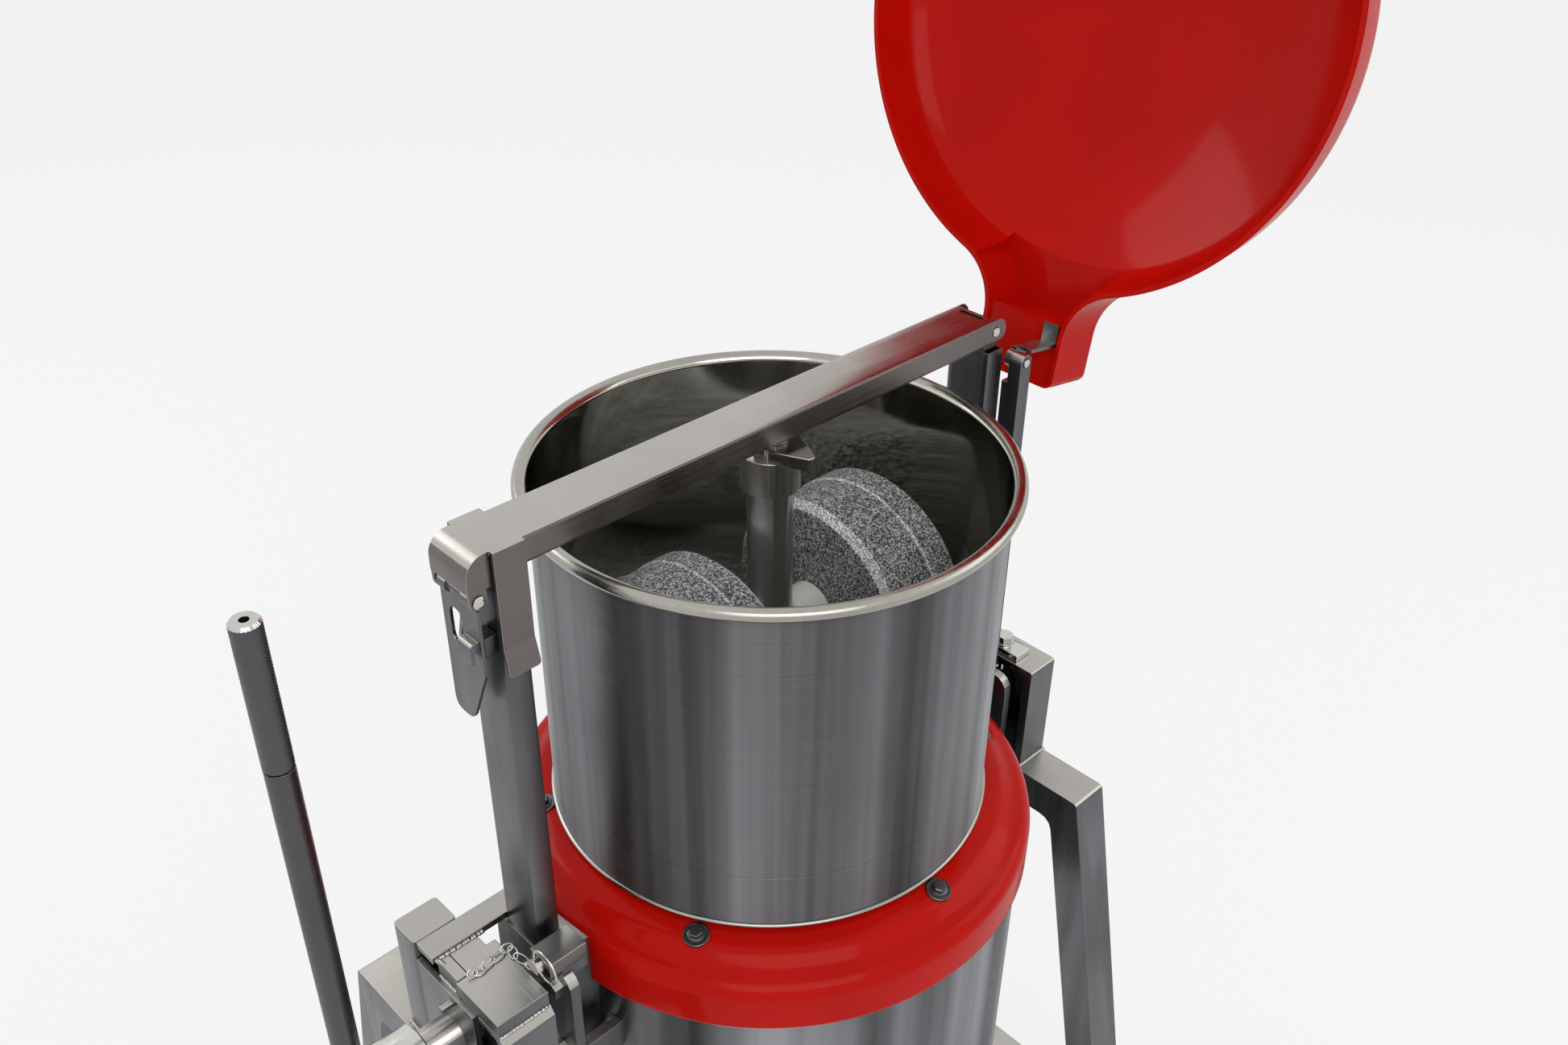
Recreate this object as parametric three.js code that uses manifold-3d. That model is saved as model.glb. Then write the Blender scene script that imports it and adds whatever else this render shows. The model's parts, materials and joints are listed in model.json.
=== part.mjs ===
// Tilting wet grinder: a steel drum with a granite floor turns under two granite rollers. The drum, its
// housing and its drive tip forward as one unit between the two bearings of a welded floor stand.
// Millimetres. x runs along the tilting shaft, y to the rear and z up. While the parts are made, the
// drum's axis is x = y = 0 and the drum's rim is z = 0. At the end the whole machine is set down with
// its lowest point on z = 0 and its outline centred on the z axis.

import * as THREE from "three";
import Module from "manifold-3d";
import { mergeVertices } from "three/addons/utils/BufferGeometryUtils.js";

const wasm = await Module();
wasm.setup();

// Driving dimensions
const rimHeight = 870;
const tiltDrop = 348.5;
const clearance = 0.3;
const overrun = 5;
const sheet = 2.5;
const fineSides = 36;
const shaftSides = 20;
const pinSides = 12;
const arcSteps = 4;
const tubeSteps = 2;

const drum = { rimRadius: 182.5, radius: 173, wall: 2, bead: 4.75, seamDrop: 236, seamStep: 0.4 };
const upright = 90;
const beadTurn = { start: 225, end: 450, throat: 120, wall: 180 };
const shoulderTurn = { inner: 60, outer: 75 };
const drumBase = { proud: 2.4, drop: 281, thickness: 3.5, lip: 3 };
const stone = { thickness: 42.4 };
const hub = { radius: 24, rise: 4.3, pinRadius: 9, pinLength: 36 };
const spindle = { flangeRadius: 70, flange: 8, radius: 17.5, bottomDrop: 549 };

const roller = {
  radius: 88, innerX: 47.3, outerX: 126, step: 1.4, chamfer: 6, firstStep: 24, secondStep: 50,
};
const axle = { radius: 12, washerRadius: 20, washer: 5, nutRadius: 13, nut: 7 };
const bush = { radius: 22, rim: 2 };
const column = { radius: 17.3, collarRadius: 21.9, collarDrop: 19, topRise: 9.7, footGap: 2, pinRadius: 6 };
const wing = { thickness: 10, hubRadius: 16, reach: 42, baseDrop: 14, tipRadius: 3 };

const arm = { top: 46, height: 20.5, half: 20, wall: 2, corner: 2.5, pivotX: 223.5, endX: 236, leftX: -250 };
const armCut = { topX: 222, bottomX: 206, slotX: 214, slotWidth: 4.7, slotHalf: 11 };
const saddle = { half: 24, sheet: 3, width: 23, rightX: -223.6, bend: 25, bottom: 44, flare: 5 };
const roll = { outerX: -264, bottom: 21.5, cheekHalf: 20, cheekRadius: 6.2 };
const latch = {
  x: -257.3, z: 14.5, pinRadius: 2.2, headRadius: 4.5, knuckle: 6.2, neck: 4.2, neckHalf: 8, half: 17,
};
const tongue = {
  plate: 2.5, face: 2.2, half: 20, widenDrop: 7.2, cutStart: 41, cutEnd: 0, bottom: 86.5, corner: 9,
};
const tongueSlot = { y: 5.8, half: 6.5, top: 2, bottom: 29 };
const hook = { y: -10, half: 7, top: 16, neck: 5, nose: 15, reach: 6 };

const pillar = { half: 20, depth: 20, leftX: -235, rightX: 226.4, leftTop: 25, rightTop: 18, corner: 3 };
const latchGap = 1.5;
const lug = { half: 15, radius: 7.2 };
const pivotPin = { radius: 4, proud: 1 };
const lidPost = { x: 243, width: 14, frontY: 38, backY: 20.5, hingeZ: 8.5, slotBottom: 10, earY: 26 };
const hinge = { pinRadius: 3.5, knuckle: 7 };
const strap = { plate: 3, offset: 9, frontY: 35, foot: 18 };

const lid = {
  radius: 213.6, crease: 206, skirt: 39.7, height: 105, wall: 4, centreX: -17.2, rise: 2.3, open: 99.6,
};
const tail = {
  half: 40, length: 290, height: 46, fillet: 50, corner: 8, ledgeNear: 236, ledgeDrop: 3,
};

const cover = { innerRadius: 160, innerDrop: 286, flatRadius: 182, flatDrop: 290, creaseRadius: 198.3 };
const skirt = { creaseDrop: 302, radius: 214.5, shoulder: 14, bottomDrop: 344, bossRadius: 6, bosses: 6 };
const shell = { radius: 208.7, topDrop: 316, bottomDrop: 560, deck: 3 };
const housing = { radius: 40, flangeRadius: 75, flange: 10, bottomDrop: 430 };
const motor = {
  y: 118, radius: 62, bottomDrop: 505, flange: 12, flangeRadius: 70, shaft: 8, fins: 24, finDepth: 2.5,
};
const pulley = { topDrop: 525, width: 20, groove: 6, drumGroove: 70, motorGroove: 14, grooveWidth: 13 };
const belt = { thickness: 6, width: 11, gap: 1, steps: 14 };
const base = { thickness: 3, holeRadius: 40, slots: 8, slotLength: 60, slotWidth: 8, slotCentre: 130 };

const trunnion = {
  outerX: 246, plate: 8, front: 58, back: 32, half: 50.5, corner: 16, boltY: 42, boltZ: 34.5,
};
const casting = { half: 34, top: 50.7, sweep: 54.8, pad: 4.5 };
const shaft = { radius: 15.5, endX: 335.4, stub: 12, stubLength: 26, rightEndX: 284 };
const bolt = { radius: 8, height: 7, lowHeight: 3.4 };
const tongueBar = { leftX: 256, rightX: 224.5, front: 50, back: 27, top: 280, height: 13, corner: 1 };
const hookPlate = { leftX: 237, rightX: 197, front: 55, thickness: 8, topDrop: 380, height: 26, return: 30 };

const handle = {
  x: 386.5, radius: 9.4, gripBottomDrop: 47, top: 57, spigot: 6, spigotLength: 66, socket: 3, chamfer: 1.6,
};
const handleHub = { radius: 24.4, innerX: 335.7, outerX: 404, bore: 25 };

const frame = {
  drop: 400, tube: 35, topHalf: 141, slopeShare: 0.2105, legWidth: 33, inner: 15, outer: 5, xWidth: 40,
};
const frameX = { right: 270, left: -294 };
const rail = { rise: 60, height: 30, crossY: 150, crossWidth: 30, corner: 2 };
const foot = { height: 15, radius: 24, top: 19, chamfer: 3 };

const bracket = {
  innerX: 256, outerX: 290, half: 72, topDrop: 292, wall: 8, back: 3.5, inner: 12, corner: 2,
};
const bearing = {
  half: 60, foot: 14, hump: 34, width: 24, rightX: 274, leftX: -284, leftWidth: 20, leftHalf: 38,
};
const footBolt = { y: 48, washerRadius: 10, washer: 2 };
const strapBolt = {
  x: 268.5, y: -30, length: 44, width: 19, plate: 6, washerRadius: 9, washer: 2, shank: 5, reach: 22,
};
const post = { leftX: -309, width: 36, front: 41, depth: 28, topDrop: 291, corner: 3 };
const stopBar = { leftX: -307, rightX: -222, thickness: 6 };
const block = {
  leftX: -305.5, rightX: -262.7, front: 56.8, back: 20, topDrop: 294, thickness: 12.5, stripX: -270.4,
  stripBack: 8,
};
const blockStand = { front: 62.3, back: 31, plate: 5, slant: 7, corner: 3, cutRise: 20 };
const plate = { thickness: 5, front: 30, studRadius: 3, stud: 9, studY: -2, studDrop: 316 };
const bar = { thickness: 9, front: 6, back: 20, shaftClearance: 0.5 };
const pullPin = { y: -38, z: -286.5, radius: 4.5, head: 6, headRadius: 6.2, length: 32 };
const ring = { radius: 13, wire: 1.1, liftDegrees: 33, steps: 20 };
const link = { length: 9, width: 6, wire: 0.9, steps: 8 };

const tiltZ = -tiltDrop;
const floorZ = -rimHeight;
const armMid = arm.top - arm.height / 2;
const stoneTop = clearance + stone.thickness - drumBase.drop;
const rollerZ = stoneTop + clearance + roller.radius;
const hubTop = stoneTop + hub.rise;
const pinTop = hubTop + hub.pinLength;
const columnFoot = hubTop + column.footGap;
const railDrop = rimHeight - rail.rise;
const blockUnder = -block.topDrop - block.thickness;

// Geometry helpers

function toSolid(geometry) {
  const bare = new THREE.BufferGeometry();
  bare.setAttribute("position", geometry.getAttribute("position").clone());
  if (geometry.index) bare.setIndex(geometry.index.clone());
  const merged = mergeVertices(bare);
  const place = merged.getAttribute("position");
  const corners = [];
  for (let i = 0; i < merged.index.count; i += 3) {
    const [a, b, c] = [0, 1, 2].map((k) => merged.index.getX(i + k));
    if (a !== b && b !== c && c !== a) corners.push(a, b, c);
  }
  if (signedVolume(place, corners) < 0) corners.reverse();
  return new wasm.Manifold(new wasm.Mesh({
    numProp: 3,
    vertProperties: new Float32Array(place.array),
    triVerts: new Uint32Array(corners),
  }));
}

function signedVolume(place, corners) {
  const [a, b, c] = [new THREE.Vector3(), new THREE.Vector3(), new THREE.Vector3()];
  let sum = 0;
  for (let i = 0; i < corners.length; i += 3) {
    a.fromBufferAttribute(place, corners[i]);
    b.fromBufferAttribute(place, corners[i + 1]);
    c.fromBufferAttribute(place, corners[i + 2]);
    sum += a.dot(b.cross(c));
  }
  return sum;
}

function toGeometry(solid) {
  const mesh = solid.getMesh();
  const geometry = new THREE.BufferGeometry();
  geometry.setAttribute("position", new THREE.BufferAttribute(new Float32Array(mesh.vertProperties), 3));
  geometry.setIndex(new THREE.BufferAttribute(new Uint32Array(mesh.triVerts), 1));
  geometry.computeVertexNormals();
  return geometry;
}

function union(...solids) {
  return solids.reduce((whole, piece) => whole.add(piece));
}

function box(x0, x1, y0, y1, z0, z1) {
  const shape = new THREE.BoxGeometry(x1 - x0, y1 - y0, z1 - z0);
  shape.translate((x0 + x1) / 2, (y0 + y1) / 2, (z0 + z1) / 2);
  return toSolid(shape);
}

// A round bar between a and b on an axis, whose centre line passes through (p, q) of the other two axes.
function rod(axis, radius, a, b, p = 0, q = 0, sides = pinSides) {
  const shape = new THREE.CylinderGeometry(radius, radius, b - a, sides);
  shape.translate(0, (a + b) / 2, 0);
  if (axis === "x") shape.rotateZ(-Math.PI / 2).translate(0, p, q);
  if (axis === "y") shape.translate(p, 0, q);
  if (axis === "z") shape.rotateX(Math.PI / 2).translate(p, q, 0);
  return toSolid(shape);
}

// A body turned from a profile of [radius, place along the axis] points.
function turned(profile, sides = fineSides, axis = "z") {
  const points = profile.map(([r, h]) => new THREE.Vector2(r, h));
  if (profile[0][0] > 0) points.push(points[0].clone());
  const shape = new THREE.LatheGeometry(points, sides);
  if (axis === "z") shape.rotateX(Math.PI / 2);
  if (axis === "x") shape.rotateZ(-Math.PI / 2);
  return toSolid(shape);
}

function arc(centreR, centreH, radius, from, to, steps = arcSteps) {
  return Array.from({ length: steps + 1 }, (_, i) => {
    const angle = THREE.MathUtils.degToRad(from + ((to - from) * i) / steps);
    return [centreR + radius * Math.cos(angle), centreH + radius * Math.sin(angle)];
  });
}

// A closed outline through corners [u, v, radius]; a corner with a radius is rounded.
function outline(corners) {
  const shape = new THREE.Shape();
  corners.forEach(([u, v, radius = 0], i) => {
    const corner = new THREE.Vector2(u, v);
    const [pu, pv] = corners[(i + corners.length - 1) % corners.length];
    const [nu, nv] = corners[(i + 1) % corners.length];
    const before = new THREE.Vector2(pu, pv).sub(corner).normalize();
    const after = new THREE.Vector2(nu, nv).sub(corner).normalize();
    const reach = radius / Math.tan(Math.acos(THREE.MathUtils.clamp(before.dot(after), -1, 1)) / 2);
    const start = before.multiplyScalar(reach).add(corner);
    const end = after.multiplyScalar(reach).add(corner);
    if (i === 0) shape.moveTo(start.x, start.y);
    else shape.lineTo(start.x, start.y);
    if (radius > 0) shape.quadraticCurveTo(u, v, end.x, end.y);
  });
  shape.closePath();
  return shape;
}

function rectangle(u0, u1, v0, v1, radius = 0) {
  return outline([[u0, v0, radius], [u1, v0, radius], [u1, v1, radius], [u0, v1, radius]]);
}

// An outline in the plane square to the axis, drawn out from a to b.
// Its points are (y, z) for x, (x, z) for y and (x, y) for z.
function extruded(axis, shape, a, b, curveSegments = arcSteps) {
  const body = new THREE.ExtrudeGeometry(shape, { depth: b - a, bevelEnabled: false, curveSegments });
  const [X, Y, Z] = [new THREE.Vector3(1, 0, 0), new THREE.Vector3(0, 1, 0), new THREE.Vector3(0, 0, 1)];
  if (axis === "x") body.applyMatrix4(new THREE.Matrix4().makeBasis(Y, Z, X)).translate(a, 0, 0);
  if (axis === "y") body.applyMatrix4(new THREE.Matrix4().makeBasis(X, Z, Y.negate())).translate(0, b, 0);
  if (axis === "z") body.translate(0, 0, a);
  return toSolid(body);
}

function hexagon(axis, radius, a, b, p, q) {
  return rod(axis, radius, a, b, p, q, 6);
}

// Materials
const finishes = {
  steel: { color: 0xb9b7b2, roughness: 0.38, metalness: 1 },
  polished: { color: 0xc4c4c4, roughness: 0.2, metalness: 1 },
  knurled: { color: 0x8d8d8f, roughness: 0.5, metalness: 1 },
  red: { color: 0xc8150c, roughness: 0.22, metalness: 0 },
  granite: { color: 0x6d7072, roughness: 0.85, metalness: 0 },
  nylon: { color: 0xf1f0ea, roughness: 0.4, metalness: 0 },
  iron: { color: 0x1c1d1f, roughness: 0.6, metalness: 0.4 },
  motorPaint: { color: 0x2f4b5e, roughness: 0.5, metalness: 0.1 },
  rubber: { color: 0x151515, roughness: 0.8, metalness: 0 },
};

const machine = new THREE.Group();

function add(name, solid, finish, group = machine) {
  const mesh = new THREE.Mesh(toGeometry(solid), new THREE.MeshStandardMaterial(finishes[finish]));
  mesh.name = name;
  group.add(mesh);
}

// Drum: rolled rim, straight wall, seam line and a base plate whose edge stands a little proud

function drumShell() {
  const inner = drum.radius - drum.wall;
  const beadCentre = drum.rimRadius - drum.bead;
  const innerRound = beadCentre - inner;
  const floorTop = -drumBase.drop;
  const baseUnder = floorTop - drumBase.thickness;
  const bore = hub.radius + clearance;
  return turned([
    [bore, baseUnder],
    [drum.radius + drumBase.proud, baseUnder],
    [drum.radius + drumBase.proud, floorTop],
    [drum.radius, floorTop + drumBase.lip],
    [drum.radius, -drum.seamDrop - drum.seamStep],
    [drum.radius - drum.seamStep, -drum.seamDrop],
    [drum.radius, -drum.seamDrop + drum.seamStep],
    [drum.radius, -drum.bead],
    ...arc(beadCentre, -drum.bead, drum.bead, beadTurn.start, beadTurn.end),
    ...arc(beadCentre, -innerRound, innerRound, beadTurn.throat, beadTurn.wall, tubeSteps),
    [inner, floorTop],
    [bore, floorTop],
  ]);
}

function floorStone() {
  const top = stoneTop;
  const edge = drum.radius - drum.wall - clearance;
  return turned([
    [hub.radius + clearance, -drumBase.drop + clearance],
    [edge, -drumBase.drop + clearance],
    [edge, top - drum.wall],
    [edge - drum.wall, top],
    [hub.radius + clearance, top],
  ]);
}

function drumSpindle() {
  const flangeTop = -drumBase.drop - drumBase.thickness - clearance;
  const flangeBottom = flangeTop - spindle.flange;
  return turned([
    [0, -spindle.bottomDrop],
    [spindle.radius, -spindle.bottomDrop],
    [spindle.radius, flangeBottom],
    [spindle.flangeRadius, flangeBottom],
    [spindle.flangeRadius, flangeTop],
    [hub.radius, flangeTop],
    [hub.radius, hubTop - drum.wall],
    [hub.radius - drum.wall, hubTop],
    [hub.pinRadius, hubTop],
    [hub.pinRadius, pinTop - drum.wall],
    [hub.pinRadius - drum.wall, pinTop],
    [0, pinTop],
  ], shaftSides);
}

function grooved(bore, groove) {
  const [top, bottom] = [-pulley.topDrop, -pulley.topDrop - pulley.width];
  const land = (pulley.width - pulley.grooveWidth) / 2;
  const rim = groove + pulley.groove;
  return [
    [bore, bottom],
    [rim, bottom],
    [rim, bottom + land],
    [groove, bottom + land],
    [groove, top - land],
    [rim, top - land],
    [rim, top],
    [bore, top],
  ];
}

add("drum_shell", drumShell(), "polished");
add("floor_stone", floorStone(), "granite");
add("drum_spindle", drumSpindle(), "steel");
add("drum_pulley", turned(grooved(spindle.radius + clearance, pulley.drumGroove), shaftSides), "iron");

// Rollers on one axle through the column, which stands on the drum's centre pin

function stoneRoller(side) {
  const at = (x) => side * x;
  const bore = axle.radius + clearance;
  const { radius, innerX, outerX, step, chamfer } = roller;
  const first = innerX + roller.firstStep;
  const second = innerX + roller.secondStep;
  return turned([
    [bore, at(innerX)],
    [radius - chamfer, at(innerX)],
    [radius, at(innerX + chamfer)],
    [radius, at(first)],
    [radius - step, at(first + step)],
    [radius - step, at(second)],
    [radius, at(second + step)],
    [radius, at(outerX - chamfer)],
    [radius - chamfer, at(outerX)],
    [bore, at(outerX)],
  ], fineSides, "x").translate([0, 0, rollerZ]);
}

function rollerAxle() {
  const washerStart = roller.outerX + clearance;
  const nutStart = washerStart + axle.washer;
  const end = nutStart + axle.nut;
  const half = (side) => union(
    rod("x", axle.washerRadius, ...[side * washerStart, side * nutStart].sort((a, b) => a - b), 0, rollerZ),
    hexagon("x", axle.nutRadius, ...[side * nutStart, side * end].sort((a, b) => a - b), 0, rollerZ),
  );
  return union(rod("x", axle.radius, -end, end, 0, rollerZ), half(-1), half(1));
}

function axleBush(side) {
  const start = column.radius + clearance;
  const end = roller.innerX - clearance;
  const bore = axle.radius + clearance;
  const barrel = bush.radius;
  return turned([
    [bore, side * start],
    [barrel - bush.rim, side * start],
    [barrel, side * (start + bush.rim)],
    [barrel, side * (end - bush.rim)],
    [barrel - bush.rim, side * end],
    [bore, side * end],
  ], pinSides, "x").translate([0, 0, rollerZ])
    .subtract(rod("z", column.radius + clearance, rollerZ - barrel, rollerZ + barrel));
}

function rollerColumn() {
  const tube = turned([
    [0, pinTop + clearance],
    [hub.pinRadius + clearance, pinTop + clearance],
    [hub.pinRadius + clearance, columnFoot],
    [column.radius, columnFoot],
    [column.radius, -column.collarDrop],
    [column.collarRadius, -column.collarDrop],
    [column.collarRadius, column.topRise],
    [column.pinRadius, column.topRise],
    [column.pinRadius, column.topRise + wing.thickness - column.pinRadius / 2],
    [0, column.topRise + wing.thickness - column.pinRadius / 2],
  ], shaftSides);
  const across = column.radius + overrun;
  return tube.subtract(rod("x", axle.radius + clearance, -across, across, 0, rollerZ));
}

function wingLever() {
  const bottom = column.topRise + clearance;
  const top = bottom + wing.thickness;
  const blade = outline([
    [-wing.hubRadius, -wing.baseDrop],
    [-wing.tipRadius, -wing.reach, wing.tipRadius],
    [wing.tipRadius, -wing.reach, wing.tipRadius],
    [wing.hubRadius, -wing.baseDrop],
    [wing.hubRadius / 2, 0],
    [-wing.hubRadius / 2, 0],
  ]);
  const recess = column.topRise + wing.thickness - column.pinRadius / 2 + clearance;
  return union(rod("z", wing.hubRadius, bottom, top), extruded("z", blade, bottom, top))
    .subtract(rod("z", column.pinRadius + clearance, bottom - overrun, recess));
}

add("roller_left", stoneRoller(-1), "granite");
add("roller_right", stoneRoller(1), "granite");
add("roller_axle", rollerAxle(), "steel");
add("axle_bush_left", axleBush(-1), "nylon");
add("axle_bush_right", axleBush(1), "nylon");
add("roller_column", rollerColumn(), "steel");
add("wing_lever", wingLever(), "steel");

// Pressure arm: a rectangular tube with two ears at the pivot and a folded head at the latch

function armTube() {
  const bottom = arm.top - arm.height;
  const { half, wall, top } = arm;
  const section = rectangle(-half, half, bottom, top, arm.corner);
  const outer = extruded("x", section, arm.leftX, arm.endX, tubeSteps);
  const hollow = box(saddle.rightX, arm.endX + overrun, wall - half, half - wall, bottom + wall, top - wall);
  const openTop = box(armCut.topX, arm.endX + overrun, wall - half, half - wall, armMid, top + overrun);
  const openUnder = box(
    armCut.bottomX, arm.endX + overrun, wall - half, half - wall, bottom - overrun, armMid,
  );
  const slot = box(
    armCut.slotX, armCut.slotX + armCut.slotWidth, -armCut.slotHalf, armCut.slotHalf, armMid, top + overrun,
  );
  return outer.subtract(union(hollow, openTop, openUnder, slot)).intersect(earLimit(bottom));
}

function earLimit(bottom) {
  const radius = arm.height / 2;
  const roundX = arm.endX - radius;
  const side = arm.half + overrun;
  const beam = box(arm.leftX - overrun, roundX, -side, side, bottom - overrun, arm.top + overrun);
  return beam.add(rod("y", radius, -side, side, roundX, armMid));
}

function saddlePlate(side) {
  const left = saddle.rightX - saddle.width;
  const face = rectangle(left, saddle.rightX, -saddle.bottom, arm.top, saddle.sheet);
  const [inner, outer] = [saddle.half - saddle.sheet, saddle.half];
  const upper = box(left, saddle.rightX, -outer, -inner, -saddle.bend, arm.top);
  const lip = outline([
    [-inner, -saddle.bend],
    [-inner - saddle.flare, -saddle.bottom],
    [-outer - saddle.flare, -saddle.bottom],
    [-outer, -saddle.bend],
  ]);
  const swept = union(upper, extruded("x", lip, left, saddle.rightX));
  const trim = extruded("y", face, -outer - saddle.flare - overrun, overrun);
  const plateSolid = swept.intersect(trim);
  return side < 0 ? plateSolid : plateSolid.scale([1, -1, 1]);
}

function latchHousing() {
  const { outerX, bottom, cheekHalf, cheekRadius } = roll;
  const bend = arm.leftX - outerX;
  const outerShape = new THREE.Shape();
  outerShape.moveTo(saddle.rightX, arm.top);
  outerShape.lineTo(arm.leftX, arm.top);
  outerShape.absarc(arm.leftX, arm.top - bend, bend, Math.PI / 2, Math.PI, false);
  outerShape.lineTo(outerX, bottom);
  outerShape.lineTo(outerX + sheet, bottom);
  outerShape.lineTo(outerX + sheet, arm.top - bend);
  outerShape.absarc(arm.leftX, arm.top - bend, bend - sheet, Math.PI, Math.PI / 2, true);
  outerShape.lineTo(saddle.rightX, arm.top - sheet);
  outerShape.closePath();
  const skin = extruded("y", outerShape, -cheekHalf, cheekHalf);
  const inner = saddle.rightX - saddle.width;
  const cheekShape = new THREE.Shape();
  cheekShape.moveTo(inner, arm.top);
  cheekShape.lineTo(arm.leftX, arm.top);
  cheekShape.absarc(arm.leftX, arm.top - bend, bend, Math.PI / 2, Math.PI, false);
  cheekShape.lineTo(latch.x - cheekRadius, latch.z);
  cheekShape.absarc(latch.x, latch.z, cheekRadius, Math.PI, 2 * Math.PI, false);
  cheekShape.lineTo(latch.x + cheekRadius, bottom);
  cheekShape.lineTo(inner, bottom);
  cheekShape.closePath();
  const cheeks = union(
    extruded("y", cheekShape, -cheekHalf, -cheekHalf + sheet),
    extruded("y", cheekShape, cheekHalf - sheet, cheekHalf),
  );
  const side = cheekHalf + overrun;
  const pinHole = rod("y", latch.pinRadius + clearance, -side, side, latch.x, latch.z);
  return skin.add(cheeks).subtract(pinHole);
}

function headCap() {
  const left = saddle.rightX - saddle.width;
  return box(left, saddle.rightX, -saddle.half, saddle.half, arm.top - saddle.sheet, arm.top);
}

function armBeam() {
  const pinHole = rod("y", pivotPin.radius + clearance, -saddle.half, saddle.half, arm.pivotX, armMid);
  const bossTop = arm.top - arm.height + arm.wall / 2;
  const boss = rod("z", column.radius - sheet, column.topRise + wing.thickness + 2 * clearance, bossTop);
  return union(armTube(), saddlePlate(-1), saddlePlate(1), headCap(), latchHousing(), boss).subtract(pinHole);
}

// The plate hangs from the pin, widens below the cheeks and has its front corner cut off at a slant.
function latchTongue() {
  const { x, z, knuckle, neck, neckHalf, half } = latch;
  const outerX = x - tongue.face;
  const innerX = outerX + tongue.plate;
  const widen = z - tongue.widenDrop;
  const plateShape = outline([
    [-half, z],
    [-half, widen],
    [-tongue.half, widen],
    [-tongue.half, -tongue.cutStart],
    [tongue.cutEnd, -tongue.bottom, tongue.corner],
    [tongue.half, -tongue.bottom, tongue.corner],
    [tongue.half, widen],
    [half, widen],
    [half, z],
  ]);
  const { y, half: slotHalf } = tongueSlot;
  const slotShape = rectangle(y - slotHalf, y + slotHalf, -tongueSlot.bottom, -tongueSlot.top, slotHalf);
  const face = extruded("x", plateShape, outerX, innerX)
    .subtract(extruded("x", slotShape, outerX - overrun, innerX + overrun));
  const barrels = union(
    rod("y", knuckle, -half, -neckHalf, x, z),
    rod("y", neck, -neckHalf - clearance, neckHalf + clearance, x, z),
    rod("y", knuckle, neckHalf, half, x, z),
  );
  const bore = rod("y", latch.pinRadius + clearance, -saddle.half, saddle.half, x, z);
  return union(face, barrels).subtract(bore).add(latchHook(outerX));
}

// The hook stands out of the plate beside its slot and turns down at its end.
function latchHook(outerX) {
  const top = -hook.top;
  const root = outerX + tongue.plate / 2;
  const nose = outerX - hook.reach;
  const shape = outline([
    [root, top],
    [nose, top, hook.reach / 2],
    [nose, top - hook.nose, tongue.plate / 2],
    [nose + tongue.plate, top - hook.nose, tongue.plate / 2],
    [nose + tongue.plate, top - hook.neck, tongue.plate / 2],
    [root, top - hook.neck - tongue.plate],
  ]);
  return extruded("y", shape, hook.y - hook.half, hook.y + hook.half);
}

function latchPin() {
  const end = roll.cheekHalf + clearance;
  const head = (side) => turned([
    [0, side * end],
    [latch.headRadius, side * end],
    [latch.headRadius, side * (end + pivotPin.proud)],
    [latch.pinRadius, side * (end + 2 * pivotPin.proud)],
    [0, side * (end + 2 * pivotPin.proud)],
  ], pinSides).rotate([-90, 0, 0]).translate([latch.x, 0, latch.z]);
  const shank = rod("y", latch.pinRadius, -end - pivotPin.proud, end + pivotPin.proud, latch.x, latch.z);
  return union(shank, head(-1), head(1));
}

add("arm_beam", armBeam(), "steel");
add("latch_pin", latchPin(), "steel");
add("latch_tongue", latchTongue(), "steel");

// Pillars, pivot pin and the catch behind the latch tongue

function tube(x, top, bottom) {
  const { half, depth, corner } = pillar;
  const outside = rectangle(x - depth / 2, x + depth / 2, -half, half, corner);
  const hollowX = depth / 2 - arm.wall;
  const inside = rectangle(x - hollowX, x + hollowX, arm.wall - half, half - arm.wall);
  return extruded("z", outside, bottom, top, tubeSteps)
    .subtract(extruded("z", inside, bottom - overrun, top + overrun));
}

const pillarFoot = tiltZ + casting.top + clearance;

function rightPillar() {
  const { half, radius } = lug;
  const lugShape = new THREE.Shape();
  lugShape.moveTo(arm.pivotX - radius, pillar.rightTop - overrun);
  lugShape.lineTo(arm.pivotX + radius, pillar.rightTop - overrun);
  lugShape.lineTo(arm.pivotX + radius, armMid);
  lugShape.absarc(arm.pivotX, armMid, radius, 0, Math.PI, false);
  lugShape.closePath();
  const hole = rod("y", pivotPin.radius + clearance, -half - overrun, half + overrun, arm.pivotX, armMid);
  return tube(pillar.rightX, pillar.rightTop, pillarFoot)
    .add(extruded("y", lugShape, -half, half))
    .subtract(hole);
}

// The catch stands on the pillar right behind the tongue's hook.
function latchCatch() {
  const face = pillar.leftX - pillar.depth / 2 - clearance;
  const reach = latch.x - tongue.face + tongue.plate + latchGap;
  return box(reach, face, hook.y - hook.half, hook.y + hook.half, -hook.top - hook.nose, -hook.top);
}

add("left_pillar", tube(pillar.leftX, pillar.leftTop, pillarFoot), "steel");
add("right_pillar", rightPillar(), "steel");
add("arm_pivot_pin", rod("y", pivotPin.radius, -arm.half - pivotPin.proud, arm.half + pivotPin.proud,
  arm.pivotX, armMid), "steel");
add("latch_catch", latchCatch(), "steel");

// Lid post with its slotted top, and the hinge pin

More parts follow.
